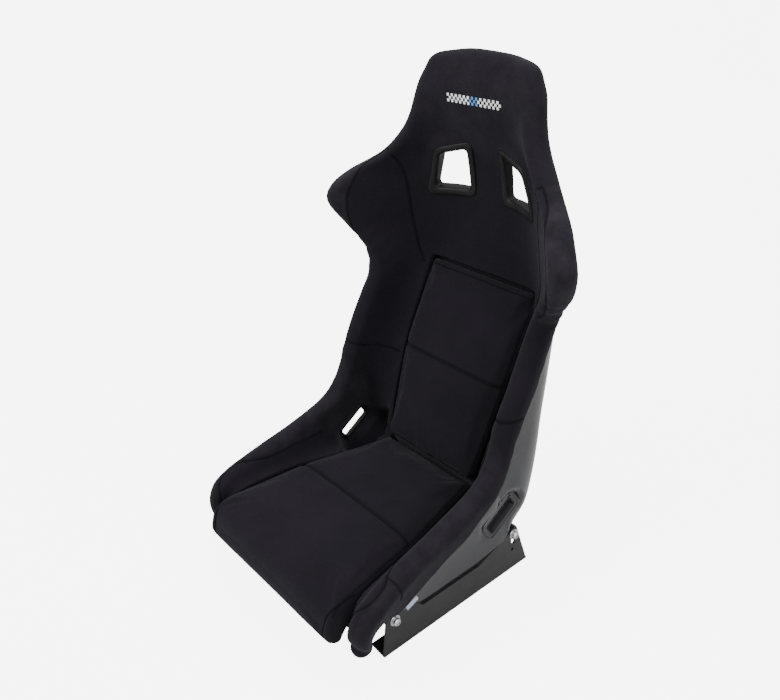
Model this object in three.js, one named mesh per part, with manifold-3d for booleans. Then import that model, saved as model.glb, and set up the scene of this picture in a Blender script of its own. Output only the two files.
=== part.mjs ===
// Fixed-back racing seat: a moulded fibreglass bucket, glued foam bolsters and pads, two removable
// cushions, harness openings with plastic bezels, and a pair of bolted side-mount brackets.
// Units are millimetres. X is across the seat, -Y is the front, +Z is up.
import * as THREE from "three";
import { mergeVertices } from "three/addons/utils/BufferGeometryUtils.js";
import Module from "manifold-3d";

const wasm = await Module();
wasm.setup();

// ---------------------------------------------------------------- driving dimensions
const SHELL_THICKNESS = 5;
const GLUE_GAP = 0.4;
const RIM_OUTSET = 10;
const RIM_DROP = 2;
const FLAP_THICKNESS = 7;

// The seat sits in its brackets with this rake and lift, measured from its own moulding frame.
const RAKE = THREE.MathUtils.degToRad(-1.93);
const LIFT = -17.8;

// Side mounts: 290 mm between bolts, as racing seats have. The rear bolt travels in a slot.
const BRACKET_INNER_X = 207;
const PLATE = 4;
const FLANGE = 37;
const FRONT_BOLT = { y: -143, z: 69 };
const REAR_BOLT = { y: 147, z: 82 };
const SLOT_TRAVEL = 20;
const BOLT_RADIUS = 4;
const HOLE_RADIUS = 4.6;
const BOSS = { radius: 16, inner: 166, outer: 206.7 };
const INSERT = { bore: 6, barrel: 5.6, thread: 4.3, flange: 10, end: 163.9 };
// Inner faces of the bolt's washers and head, outside the bracket.
const STACK = { washer: 211.3, spring: 213.2, head: 215.5 };
// Room in the foam for the front tab of a bracket, through the whole travel of the rake.
const TAB_ROOM = { thickness: 5.2, length: 90, height: 65, ahead: 12, below: 14.5 };

// The bucket as stations from the front lip, under the thighs, up the back, to the top of the head.
// spine: the moulding on the centre plane (y, z). roll: centre of the padded edge (x, y, z) and its
// radius. wall: where the moulding's floor meets its side wall, and the rounding there. trim: height
// of the padded face over the moulding, where it turns up into the bolster, and the rounding there.
// cover: half-width at which the bolster foam starts, and how far the cover wraps down outside.
const STATIONS = [
  { spine: [-200, 62], roll: [212, -218, 74, 18], wall: [200, 18], trim: [6, 190, 6], cover: [186, 13] },
  { spine: [-197, 61.5], roll: [219, -230, 92, 20], wall: [205, 41], trim: [21, 194, 10], cover: [192, 30] },
  { spine: [-193, 61], roll: [225, -232, 116, 21], wall: [206, 58], trim: [48, 198, 10], cover: [196, 48] },
  { spine: [-188, 60], roll: [227, -220, 141, 22], wall: [203, 75], trim: [80, 201, 10], cover: [198, 65] },
  { spine: [-181, 57.5], roll: [227, -196, 157, 22], wall: [200, 90], trim: [98, 198, 12], cover: [192, 74] },
  { spine: [-160, 54], roll: [224, -163, 172, 22], wall: [196, 92], trim: [106, 192, 14], cover: [187, 74] },
  { spine: [-120, 52], roll: [221, -115, 187, 22], wall: [192, 85], trim: [112, 186, 16], cover: [181, 62] },
  { spine: [-60, 50], roll: [218, -55, 203, 22], wall: [195, 60], trim: [114, 182, 20], cover: [171.5, 39] },
  { spine: [0, 49], roll: [216, 0, 221, 22], wall: [197, 55], trim: [115, 188, 28], cover: [156.5, 35] },
  { spine: [60, 49], roll: [215, 38, 239, 21], wall: [198, 60], trim: [112, 198, 36], cover: [144.5, 22] },
  { spine: [120, 51], roll: [215, 62, 258, 20], wall: [194, 80], trim: [113, 203, 44], cover: [134.5, 19] },
  { spine: [170, 66], roll: [214, 80, 282, 20], wall: [211, 142], trim: [112, 202, 58], cover: [127.5, 18] },
  { spine: [205, 105], roll: [213, 93, 308, 21], wall: [224, 160], trim: [134, 198, 64], cover: [130, 15] },
  { spine: [222, 160], roll: [212, 103, 334, 22], wall: [219, 140], trim: [124, 193, 60], cover: [135, 15] },
  { spine: [232, 230], roll: [212, 116, 364, 22], wall: [212, 112], trim: [98, 190, 54], cover: [140, 15] },
  { spine: [243, 310], roll: [213, 136, 404, 22], wall: [204, 96], trim: [72, 187, 50], cover: [145, 15] },
  { spine: [258, 390], roll: [211, 161, 450, 22], wall: [196, 84], trim: [50, 180, 44], cover: [144.5, 15] },
  { spine: [276, 465], roll: [210, 184, 496, 22], wall: [182, 76], trim: [36, 170, 40], cover: [142.5, 15] },
  { spine: [291, 535], roll: [224, 190, 545, 22], wall: [164, 84], trim: [23, 148, 52], cover: [137.5, 16] },
  { spine: [299, 595], roll: [258, 172, 592, 23], wall: [144, 88], trim: [20, 122, 72], cover: [121, 20] },
  { spine: [301, 645], roll: [282, 147, 638, 23], wall: [134, 90], trim: [20, 108, 78], cover: [115, 22] },
  { spine: [299, 682], roll: [273, 151, 672, 22], wall: [130, 88], trim: [20, 104, 78], cover: [115, 22] },
  { spine: [296, 716], roll: [243, 176, 703, 21], wall: [128, 84], trim: [20, 104, 74], cover: [106, 20] },
  { spine: [291, 752], roll: [190, 212, 740, 21], wall: [124, 66], trim: [20, 102, 52], cover: [106, 18] },
  { spine: [287, 787], roll: [155, 230, 780, 21], wall: [112, 52], trim: [31, 96, 42], cover: [134, 16] },
  { spine: [284, 817], roll: [137, 238, 814, 21], wall: [102, 42], trim: [40, 88, 34], cover: [120, 16] },
  { spine: [281, 848], roll: [126, 243, 847, 21], wall: [94, 34], trim: [46, 82, 28], cover: [110, 15] },
  { spine: [277, 874], roll: [119, 249, 874, 20], wall: [84, 26], trim: [42, 72, 22], cover: [92, 13] },
  { spine: [272, 894], roll: [104, 254, 896, 19], wall: [74, 16], trim: [30, 62, 16], cover: [74, 11] },
];
// Places along the stations where one piece of foam ends and the next one starts.
const WAIST_STATION = 14;
const NECK_STATION = 23;
const LINER_START = 11.05;
const BASE_SPAN = [3, 10.95];
const HARNESS_SPAN = [18, 24.5];
const LAP_SPAN = [8.8, 13];
const SEAM_GAP = 0.02;
const SLIVER = 0.03;
const LAST_STATION = STATIONS.length - 1;

// Cushions as rows of (y, z) on the face they rest on and on the face they show, with half-widths.
const SEAT_CUSHION = [
  { rest: [-244, 88], face: [-260, 86], half: 196 },
  { rest: [-239, 99], face: [-268, 103], half: 197 },
  { rest: [-230, 110], face: [-264, 134], half: 197 },
  { rest: [-216, 116], face: [-247, 154], half: 195.5 },
  { rest: [-190, 118], face: [-208, 164], half: 190 },
  { rest: [-130, 119], face: [-132, 169], half: 179.5 },
  { rest: [-60, 120], face: [-60, 172], half: 169.5 },
  { rest: [20, 122], face: [20, 176], half: 148 },
  { rest: [80, 125], face: [80, 179], half: 132 },
  { rest: [138, 129], face: [120, 182], half: 121 },
];
const BACK_CUSHION = [
  { rest: [176, 191], face: [116, 186], half: 123 },
  { rest: [186, 225], face: [130, 224], half: 127.5 },
  { rest: [198, 275], face: [148, 274], half: 132.5 },
  { rest: [213, 330], face: [168, 330], half: 138 },
  { rest: [228, 385], face: [190, 383], half: 141.5 },
  { rest: [246, 440], face: [216, 437], half: 141 },
  { rest: [264, 495], face: [243, 490], half: 139 },
  { rest: [273, 527], face: [259, 526], half: 134 },
];
const CUSHION_CLEARANCE = 2.6;
const STRIP = { width: 40, length: 210, thickness: 1.6 };

// Harness opening: its corners on the padded face (x, y, z), inner ones first.
const HARNESS_CORNERS = [
  [46, 279, 680],
  [120, 260, 675],
  [100, 248, 741],
  [45, 265, 757],
];
const HARNESS_ROUNDING = 11;
const HARNESS_HALF_WIDTHS = [10, 185];
const BEZEL = { flange: 13, sleeve: 2.6, proud: 2.6, end: -8.5 };
// Lap-belt slot through the side wall: middle of its two ends (y, z), its width and its rims.
const LAP_SLOT = { low: [73, 156], high: [127, 193], width: 22, inset: 6, frame: 11 };
const LAP_FACE_START = 172;
// Top of the head: how far the cover rises over the moulding's edge, and how it rounds off.
const CROWN = { height: 30, bulge: 8, inset: 0.6, side: 0.14 };

// Woven tag on the right-hand hem: length, width, thickness and place (x, y, z).
const TAG_SIZE = [26, 10, 0.8];
const TAG_PLACE = { centre: [229, -122, 118], tilt: 0.42 };

// ---------------------------------------------------------------- materials
function finish(color, roughness, metalness = 0) {
  return new THREE.MeshStandardMaterial({ color, roughness, metalness });
}
const FIBREGLASS = finish(0x141416, 0.22);
const JERSEY = finish(0x1b1a20, 0.95);
const CUSHION_JERSEY = finish(0x1d1c22, 0.95);
const LINING = finish(0x111113, 1);
const FOAM = finish(0x3a3a3c, 1);
const HOOK_TAPE = finish(0x101010, 0.9);
const MOULDED_PLASTIC = finish(0x1c1c1e, 0.55);
const POWDER_COAT = finish(0x121214, 0.45, 0.2);
const ZINC = finish(0xc8ccd0, 0.3, 0.9);
const TAG = finish(0xe6e8ec, 0.7);

// ---------------------------------------------------------------- curves through the stations
function smoothValue(before, from, to, after, t) {
  const a = 2 * from;
  const b = to - before;
  const c = 2 * before - 5 * from + 4 * to - after;
  const d = 3 * from - before - 3 * to + after;
  return 0.5 * (a + t * (b + t * (c + t * d)));
}

function stationNumbers(station) {
  return [
    ...station.spine,
    ...station.roll,
    ...station.wall,
    ...station.trim,
    ...station.cover,
  ];
}

// The section at a place along the seat: a plane frame (origin on the spine, x across, h towards the
// padded edge) and the sizes that its outlines are drawn from.
function sectionAt(place) {
  const index = Math.max(0, Math.min(Math.floor(place), LAST_STATION - 1));
  const t = place - index;
  const rows = [index - 1, index, index + 1, index + 2].map((i) =>
    stationNumbers(STATIONS[Math.max(0, Math.min(LAST_STATION, i))]),
  );
  const v = rows[0].map((_, k) => smoothValue(rows[0][k], rows[1][k], rows[2][k], rows[3][k], t));
  const [spineY, spineZ, rollX, rollY, rollZ, radius, wallX, wallRound] = v;
  const [trimHeight, trimX, trimRound, split, flap] = v.slice(8);
  const height = Math.hypot(rollY - spineY, rollZ - spineZ);
  return {
    origin: [spineY, spineZ],
    up: [(rollY - spineY) / height, (rollZ - spineZ) / height],
    roll: [rollX, height],
    radius,
    rim: [rollX + RIM_OUTSET, height - RIM_DROP],
    wall: [wallX, wallRound],
    trim: [trimHeight, trimX, trimRound],
    split,
    flap,
  };
}

// A half outline: level floor, rounded corner, straight wall. s runs from 0 on the centre to 1.
function bucketOutline(floor, corner, rounding, end) {
  const along = [end[0] - corner, end[1] - floor];
  const wallLength = Math.hypot(along[0], along[1]);
  const used = Math.min(rounding, wallLength * 0.9, corner * 0.95);
  const start = [corner - used, floor];
  const stop = [corner + (along[0] / wallLength) * used, floor + (along[1] / wallLength) * used];
  return (s) => {
    if (s < 0.3) {
      return [(start[0] * s) / 0.3, floor];
    }
    if (s > 0.8) {
      const t = (s - 0.8) / 0.2;
      return [stop[0] + (end[0] - stop[0]) * t, stop[1] + (end[1] - stop[1]) * t];
    }
    const t = (s - 0.3) / 0.5;
    const a = (1 - t) * (1 - t);
    const b = 2 * t * (1 - t);
    const c = t * t;
    return [a * start[0] + b * corner + c * stop[0], a * floor + b * floor + c * stop[1]];
  };
}

function shellOutline(section) {
  return bucketOutline(0, section.wall[0], section.wall[1], section.rim);
}

// The point where a line from the trim corner touches the padded roll on its inner side.
function rollContact(section) {
  const [height, corner] = section.trim;
  const away = [corner - section.roll[0], height - section.roll[1]];
  const distance = Math.hypot(away[0], away[1]);
  const turn = Math.acos(Math.min(1, section.radius / distance));
  const angle = Math.atan2(away[1], away[0]) - turn;
  return {
    angle,
    point: [
      section.roll[0] + section.radius * Math.cos(angle),
      section.roll[1] + section.radius * Math.sin(angle),
    ],
  };
}

function trimOutline(section) {
  const [height, corner, rounding] = section.trim;
  return bucketOutline(height, corner, rounding, rollContact(section).point);
}

// An outline moved sideways: positive to the inside of the bucket, negative to the outside.
function offsetPoint(outline, s, distance) {
  const step = 1e-3;
  const a = outline(Math.max(0, s - step));
  const b = outline(Math.min(1, s + step));
  const length = Math.hypot(b[0] - a[0], b[1] - a[1]);
  const p = outline(s);
  return [p[0] - ((b[1] - a[1]) / length) * distance, p[1] + ((b[0] - a[0]) / length) * distance];
}

// The place on an outline where it reaches a half-width (axis 0) or a height (axis 1).
function reach(outline, axis, value) {
  let low = 0;
  let high = 1;
  for (let i = 0; i < 40; i++) {
    const middle = (low + high) / 2;
    if (outline(middle)[axis] < value) {
      low = middle;
    } else {
      high = middle;
    }
  }
  return (low + high) / 2;
}

function spread(from, to, count) {
  return Array.from({ length: count }, (_, i) => from + ((to - from) * i) / (count - 1));
}

// ---------------------------------------------------------------- solids from rings
function placeInSection(section, [x, h]) {
  const [originY, originZ] = section.origin;
  return new THREE.Vector3(x, originY + section.up[0] * h, originZ + section.up[1] * h);
}

// A closed solid through rings of points, each ring with the same count, and flat ends.
function loft(rings, flatRings) {
  const count = rings[0].length;
  const points = rings.flat();
  const faces = [];
  for (let r = 0; r + 1 < rings.length; r++) {
    for (let k = 0; k < count; k++) {
      const a = r * count + k;
      const b = r * count + ((k + 1) % count);
      const shorter = points[a].distanceTo(points[b + count]) < points[b].distanceTo(points[a + count]);
      const [c, d] = shorter ? [b + count, a] : [a + count, b];
      faces.push([a, b, c], [d, b + count, a + count]);
    }
  }
  const last = (rings.length - 1) * count;
  for (const [ring, base, flip] of [[flatRings[0], 0, true], [flatRings.at(-1), last, false]]) {
    const cap = THREE.ShapeUtils.triangulateShape(ring.map(([x, y]) => new THREE.Vector2(x, y)), []);
    const clockwise = THREE.ShapeUtils.isClockWise(ring.map(([x, y]) => new THREE.Vector2(x, y)));
    for (const [a, b, c] of cap) {
      faces.push(flip !== clockwise ? [base + a, base + c, base + b] : [base + a, base + b, base + c]);
    }
  }
  const geometry = new THREE.BufferGeometry();
  const numbers = points.flatMap((p) => [p.x, p.y, p.z]);
  geometry.setAttribute("position", new THREE.Float32BufferAttribute(numbers, 3));
  geometry.setIndex(faces.flat());
  return faceOutwards(geometry);
}

function signedVolume(geometry) {
  const p = geometry.getAttribute("position");
  const index = geometry.index.array;
  const corner = [0, 1, 2].map(() => new THREE.Vector3());
  let sum = 0;
  for (let i = 0; i < index.length; i += 3) {
    corner.forEach((v, k) => v.fromBufferAttribute(p, index[i + k]));
    sum += corner[0].dot(corner[1].clone().cross(corner[2]));
  }
  return sum;
}

function faceOutwards(geometry) {
  if (signedVolume(geometry) < 0) {
    const index = geometry.index.array;
    for (let i = 0; i < index.length; i += 3) {
      [index[i + 1], index[i + 2]] = [index[i + 2], index[i + 1]];
    }
  }
  return geometry;
}

// A solid along the seat from one place to another, its outline drawn by a function of the section.
function loftAlong(from, to, outline) {
  const between = STATIONS.map((_, i) => i).filter((i) => i > from + 0.03 && i < to - 0.03);
  const sections = [from, ...between, to].map(sectionAt);
  const flat = sections.map(outline);
  return loft(flat.map((ring, i) => ring.map((p) => placeInSection(sections[i], p))), flat);
}

const mirrored = (ring) => ring.map(([x, h]) => [-x, h]).reverse();

// A copy with shared vertices, and no other attribute than position.
function weld(geometry) {
  const bare = geometry.clone();
  bare.deleteAttribute("normal");
  bare.deleteAttribute("uv");
  return mergeVertices(bare, 1e-4);
}

function solid(geometry) {
  const merged = weld(geometry);
  const vertProperties = new Float32Array(merged.attributes.position.array);
  const triVerts = new Uint32Array(merged.index.array);
  return new wasm.Manifold(new wasm.Mesh({ numProp: 3, vertProperties, triVerts }));
}

// The solid as a geometry, without the slivers that joins and cuts leave.
function geometryOf(manifold) {
  const mesh = manifold.simplify(SLIVER).getMesh();
  const geometry = new THREE.BufferGeometry();
  geometry.setAttribute("position", new THREE.BufferAttribute(mesh.vertProperties, 3));
  geometry.setIndex(new THREE.BufferAttribute(mesh.triVerts, 1));
  return geometry;
}

// What is left of a solid after its cutters: its largest body, without the shavings.
function cut(geometry, ...tools) {
  const left = tools.reduce((body, tool) => body.subtract(solid(tool)), solid(geometry));
  const bodies = left.decompose().sort((a, b) => b.volume() - a.volume());
  return geometryOf(bodies[0]);
}

function join(geometry, ...others) {
  return geometryOf(others.reduce((left, other) => left.add(solid(other)), solid(geometry)));
}

function mirrorX(geometry) {
  return faceOutwards(weld(geometry).scale(-1, 1, 1));
}

// ---------------------------------------------------------------- bucket and foam
// The moulding's own outline, grown on every side by a margin to make the cutter for the foam.
function shellRing(section, margin = 0) {
  const outline = shellOutline(section);
  const places = [0.3, 0.4, 0.5, 0.6, 0.7, 0.8, 1];
  const inner = places.map((s) => offsetPoint(outline, s, margin));
  const outer = places.map((s) => offsetPoint(outline, s, -SHELL_THICKNESS - margin));
  const rise = offsetPoint(outline, 1, 0);
  const below = outline(0.95);
  const length = Math.hypot(rise[0] - below[0], rise[1] - below[1]);
  for (const edge of [inner.at(-1), outer.at(-1)]) {
    edge[0] += ((rise[0] - below[0]) / length) * margin;
    edge[1] += ((rise[1] - below[1]) / length) * margin;
  }
  const half = [...inner, ...outer.reverse()];
  return [...half, ...mirrored(half)];
}

// The padded edge: over the roll from its inner contact, down the outside to the cover's hem, then
// back through the middle of the moulding to a half-width.
function edgeRing(section, face, startX) {
  const outline = shellOutline(section);
  const first = rollContact(section).angle;
  const wallTop = [outline(1)[0] - outline(0.9)[0], outline(1)[1] - outline(0.9)[1]];
  const outward = Math.atan2(-wallTop[0], wallTop[1]);
  const arc = spread(first < 0 ? first + 2 * Math.PI : first, outward, 7).map((a) => [
    section.roll[0] + section.radius * Math.cos(a),
    section.roll[1] + section.radius * Math.sin(a),
  ]);
  const end = reach(outline, 1, section.rim[1] - section.flap);
  const start = reach(outline, 0, startX);
  const hem = offsetPoint(outline, end, -SHELL_THICKNESS - FLAP_THICKNESS);
  const back = spread(end, start, 6).map((s) => offsetPoint(outline, s, -SHELL_THICKNESS / 2));
  back[back.length - 1][0] = startX;
  return [...face, ...arc.slice(1), hem, ...back];
}

function bolsterRing(section) {
  const outline = trimOutline(section);
  const startX = section.split + GLUE_GAP;
  const face = spread(reach(outline, 0, startX), 1, 6).map((s) => outline(s));
  face[0][0] = startX;
  return edgeRing(section, face, startX);
}

function headRing(section) {
  const outline = trimOutline(section);
  const face = [0.3, 0.45, 0.65, 0.8, 1].map((s) => outline(s));
  const half = edgeRing(section, face, section.wall[0] * 0.4);
  return [...half, ...mirrored(half)];
}

// Foam between the bolsters, up to the padded face.
function fillRing(section) {
  const face = trimOutline(section);
  const outline = shellOutline(section);
  const widest = section.split - GLUE_GAP;
  const top = spread(0, widest, 5).map((x) => (x === 0 ? [0, section.trim[0]] : face(reach(face, 0, x))));
  const bottom = spread(widest, 0, 5).map((x) => [x, outline(reach(outline, 0, x))[1] - SHELL_THICKNESS / 2]);
  top[4][0] = widest;
  return [...top, ...bottom, ...mirrored([...top, ...bottom].slice(1, -1))];
}

// ---------------------------------------------------------------- openings
// A right-handed frame whose Z is the opening's direction.
function frameFrom(origin, across, direction) {
  const z = direction.clone().normalize();
  const y = new THREE.Vector3().crossVectors(z, across).normalize();
  const x = new THREE.Vector3().crossVectors(y, z);
  return new THREE.Matrix4().makeBasis(x, y, z).setPosition(origin);
}

function harnessFrame() {
  const [a, b, c, d] = HARNESS_CORNERS.map((p) => new THREE.Vector3(...p));
  const centre = new THREE.Vector3().add(a).add(b).add(c).add(d).divideScalar(4);
  const diagonal = new THREE.Vector3().subVectors(c, a);
  const other = new THREE.Vector3().subVectors(d, b);
  return frameFrom(centre, new THREE.Vector3(1, 0, 0), new THREE.Vector3().crossVectors(other, diagonal));
}

function lapFrame() {
  const [low, high] = [LAP_SLOT.low, LAP_SLOT.high];
  const centre = new THREE.Vector3(200, (low[0] + high[0]) / 2, (low[1] + high[1]) / 2);
  const along = new THREE.Vector3(0, high[0] - low[0], high[1] - low[1]);
  return frameFrom(centre, along, new THREE.Vector3(1, 0, 0));
}

// A rounded outline through corners, grown outwards by a margin.
function roundedOutline(corners, rounding, margin) {
  const centre = corners.reduce((sum, p) => sum.add(p), new THREE.Vector2()).divideScalar(corners.length);
  const grown = corners.map((p, i) => {
    const before = corners.at(i - 1);
    const after = corners[(i + 1) % corners.length];
    const inward = p.clone().sub(before).normalize();
    const outward = p.clone().sub(after).normalize();
    const bisector = inward.clone().add(outward).normalize();
    const sine = Math.abs(inward.cross(bisector));
    const sign = bisector.dot(p.clone().sub(centre)) > 0 ? 1 : -1;
    return p.clone().addScaledVector(bisector, (sign * margin) / sine);
  });
  const points = [];
  const reachBack = rounding + margin * 0.6;
  grown.forEach((p, i) => {
    const start = p.clone().addScaledVector(grown.at(i - 1).clone().sub(p).normalize(), reachBack);
    const next = grown[(i + 1) % grown.length].clone().sub(p).normalize();
    const end = p.clone().addScaledVector(next, reachBack);
    points.push(...new THREE.QuadraticBezierCurve(start, p, end).getPoints(3));
  });
  return points;
}

function harnessOutline(margin) {
  const inverse = harnessFrame().invert();
  const corners = HARNESS_CORNERS.map((p) => {
    const local = new THREE.Vector3(...p).applyMatrix4(inverse);
    return new THREE.Vector2(local.x, local.y);
  });
  return roundedOutline(corners, HARNESS_ROUNDING, margin);
}

function lapOutline(margin) {
  const half = Math.hypot(LAP_SLOT.high[0] - LAP_SLOT.low[0], LAP_SLOT.high[1] - LAP_SLOT.low[1]) / 2;
  const w = LAP_SLOT.width / 2;
  const corners = [[-half, -w], [half, -w], [half, w], [-half, w]].map(([x, y]) => new THREE.Vector2(x, y));
  return roundedOutline(corners, 5, margin);
}

function prism(outline, frame, from, to) {
  const shape = new THREE.Shape(outline);
  const geometry = new THREE.ExtrudeGeometry(shape, { depth: to - from, bevelEnabled: false });
  return geometry.translate(0, 0, from).applyMatrix4(frame);
}

// A thin slab that follows an outline, between two offsets from it and two half-widths.
function band(from, to, outlineOf, near, far, startX, endX) {
  return loftAlong(from, to, (section) => {
    const outline = outlineOf(section);
    const start = reach(outline, 0, startX);
    const end = endX === null ? 1 : reach(outline, 0, endX);
    const places = spread(start, end, 7);
    return [
      ...places.map((s) => offsetPoint(outline, s, near)),
      ...places.map((s) => offsetPoint(outline, s, far)).reverse(),
    ];
  });
}

function meet(geometry, other) {
  return geometryOf(solid(geometry).intersect(solid(other)));
}

// Front bezel: a flange that follows the padded face, and a sleeve through the foam and moulding.
function harnessBezel() {
  const frame = harnessFrame();
  const slab = band(...HARNESS_SPAN, trimOutline, GLUE_GAP, BEZEL.proud, ...HARNESS_HALF_WIDTHS);
  const flange = meet(prism(harnessOutline(BEZEL.flange), frame, -60, 60), slab);
  const reachIn = band(...HARNESS_SPAN, trimOutline, BEZEL.proud, -90, ...HARNESS_HALF_WIDTHS);
  const sleeve = meet(prism(harnessOutline(BEZEL.sleeve), frame, -34, 80), reachIn);
  const behind = band(...HARNESS_SPAN, shellOutline, BEZEL.end, -90, ...HARNESS_HALF_WIDTHS);
  return cut(join(flange, sleeve), behind, prism(harnessOutline(0), frame, -90, 140));
}

function harnessRearRing() {
  const frame = harnessFrame();
  const near = -SHELL_THICKNESS - 1;
  const slab = band(...HARNESS_SPAN, shellOutline, near, near - BEZEL.proud, ...HARNESS_HALF_WIDTHS);
  const hole = prism(harnessOutline(BEZEL.sleeve + GLUE_GAP), frame, -90, 140);
  return cut(meet(prism(harnessOutline(BEZEL.flange - 2), frame, -30, 120), slab), hole);
}

function lapBezel() {
  const frame = lapFrame();
  const slab = band(...LAP_SPAN, trimOutline, GLUE_GAP, BEZEL.proud, LAP_FACE_START, null);
  const flange = meet(prism(lapOutline(LAP_SLOT.inset), frame, -70, 30), slab);
  const reachIn = band(...LAP_SPAN, trimOutline, BEZEL.proud, -70, LAP_FACE_START, null);
  const sleeve = meet(prism(lapOutline(BEZEL.sleeve), frame, -70, 21), reachIn);
  return cut(join(flange, sleeve), prism(lapOutline(0), frame, -90, 90));
}

// ---------------------------------------------------------------- the parts
const seatFrame = new THREE.Matrix4()
  .makeRotationX(RAKE)
  .setPosition(0, 0, LIFT);

// A cylinder across the seat, given in the brackets' frame.
function crossCylinder(radius, from, to, bolt, sides = 14) {
  return new THREE.CylinderGeometry(radius, radius, to - from, sides)
    .rotateZ(Math.PI / 2)
    .translate((from + to) / 2, bolt.y, bolt.z);
}

function inSeatFrame(geometry) {
  return geometry.applyMatrix4(seatFrame.clone().invert());
}

function boltCylinders(radius, from, to) {
  return [FRONT_BOLT, REAR_BOLT].flatMap((bolt) => {
    const right = inSeatFrame(crossCylinder(radius, from, to, bolt));
    return [right, mirrorX(right)];
  });
}

function bothSides(geometry) {
  return [geometry, mirrorX(geometry)];
}

function makeShell() {
  const frame = lapFrame();
  const body = loftAlong(0, LAST_STATION, (section) => shellRing(section));
  const near = -SHELL_THICKNESS + 0.5;
  const proud = band(...LAP_SPAN, shellOutline, near, -SHELL_THICKNESS - 2, 150, null);
  const rim = meet(prism(lapOutline(LAP_SLOT.frame), frame, -20, 60), proud);
  const whole = join(body, ...bothSides(rim), ...boltCylinders(BOSS.radius, BOSS.inner, BOSS.outer));
  const lap = prism(lapOutline(BEZEL.sleeve + GLUE_GAP), frame, -90, 90);
  const harness = prism(harnessOutline(BEZEL.sleeve + GLUE_GAP), harnessFrame(), -90, 140);
  return cut(whole, ...bothSides(lap), ...bothSides(harness), ...boltCylinders(INSERT.bore, 150, 230));
}

// The room that the moulding takes, with a little clearance, to be cut from the foam.
function shellRoom() {
  return loftAlong(-0.1, LAST_STATION + 0.05, (section) => shellRing(section, GLUE_GAP));
}

// A point of a cushion's row, from its resting face (rise 0) to its shown face (rise 1).
function betweenFaces({ rest, face }, x, rise) {
  return new THREE.Vector3(x, rest[0] + (face[0] - rest[0]) * rise, rest[1] + (face[1] - rest[1]) * rise);
}

// The room of a cushion and all that lies before it, wider than the cushion by a side margin.
function cushionRoom(rows, sideMargin) {
  const ring = [[1, 0], [1, 1], [-1, 1], [-1, 0]];
  const grown = rows.map(({ rest, face, half }) => {
    const depth = Math.hypot(rest[0] - face[0], rest[1] - face[1]);
    const d = [(rest[0] - face[0]) / depth, (rest[1] - face[1]) / depth];
    return {
      rest: [rest[0] + d[0] * CUSHION_CLEARANCE, rest[1] + d[1] * CUSHION_CLEARANCE],
      face: [face[0] - d[0] * 40, face[1] - d[1] * 40],
      half: half + sideMargin,
    };
  });
  for (const [end, next] of [[0, 1], [grown.length - 1, grown.length - 2]]) {
    for (const key of ["rest", "face"]) {
      const step = [grown[end][key][0] - grown[next][key][0], grown[end][key][1] - grown[next][key][1]];
      const length = Math.hypot(step[0], step[1]);
      grown[end][key] = grown[end][key].map((v, i) => v + (step[i] / length) * 1.2);
    }
  }
  const rings = grown.map((row) => ring.map(([side, rise]) => betweenFaces(row, side * row.half, rise)));
  return loft(rings, rings.map(() => ring));
}

// The room that a bezel's flange takes above the padded face.
function flangeRoom(span, outline, frame, startX, endX) {
  const above = band(...span, trimOutline, -0.8, 14, startX, endX);
  return meet(prism(outline, frame, -80, 80), above);
}

function harnessRooms() {
  const sleeve = prism(harnessOutline(BEZEL.sleeve + GLUE_GAP), harnessFrame(), -90, 140);
  const rim = harnessOutline(BEZEL.flange + 0.6);
  const flange = flangeRoom(HARNESS_SPAN, rim, harnessFrame(), ...HARNESS_HALF_WIDTHS);
  return [sleeve, flange];
}

function lapRooms() {
  const sleeve = prism(lapOutline(BEZEL.sleeve + GLUE_GAP), lapFrame(), -60, 90);
  const flange = flangeRoom(LAP_SPAN, lapOutline(LAP_SLOT.inset + 0.6), lapFrame(), LAP_FACE_START - 3, null);
  const frame = prism(lapOutline(LAP_SLOT.frame + 0.6), lapFrame(), 20, 60);
  return [sleeve, flange, frame];
}

function insertPockets() {
  return boltCylinders(BOSS.radius + 1, INSERT.end - 2, 230);
}

function tabRoom() {
  const tab = new THREE.BoxGeometry(TAB_ROOM.thickness, TAB_ROOM.length, TAB_ROOM.height);
  const x = BRACKET_INNER_X + PLATE / 2;
  return inSeatFrame(tab.translate(x, FRONT_BOLT.y + TAB_ROOM.ahead, FRONT_BOLT.z - TAB_ROOM.below));
}

function makeBackLiner() {
  const body = loftAlong(LINER_START, NECK_STATION - SEAM_GAP, fillRing);
  const rooms = [cushionRoom(BACK_CUSHION, 6), cushionRoom(SEAT_CUSHION, 6)];
  return cut(body, shellRoom(), ...rooms, ...harnessRooms().flatMap(bothSides));
}

function makeBaseFoam() {
  const body = loftAlong(BASE_SPAN[0], BASE_SPAN[1], fillRing);
  return cut(body, shellRoom(), cushionRoom(SEAT_CUSHION, 6), ...insertPockets());
}

function makeThighBolster() {
  const body = loftAlong(0, WAIST_STATION - SEAM_GAP, bolsterRing);
  const rooms = [cushionRoom(BACK_CUSHION, 0.7), cushionRoom(SEAT_CUSHION, 0.7), shellRoom(), tabRoom()];
  return cut(body, ...rooms, ...lapRooms(), ...insertPockets());
}

function makeShoulderBolster() {
  const body = loftAlong(WAIST_STATION + SEAM_GAP, NECK_STATION - SEAM_GAP, bolsterRing);
  return cut(body, shellRoom(), cushionRoom(BACK_CUSHION, 0.7), ...harnessRooms());
}

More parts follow.
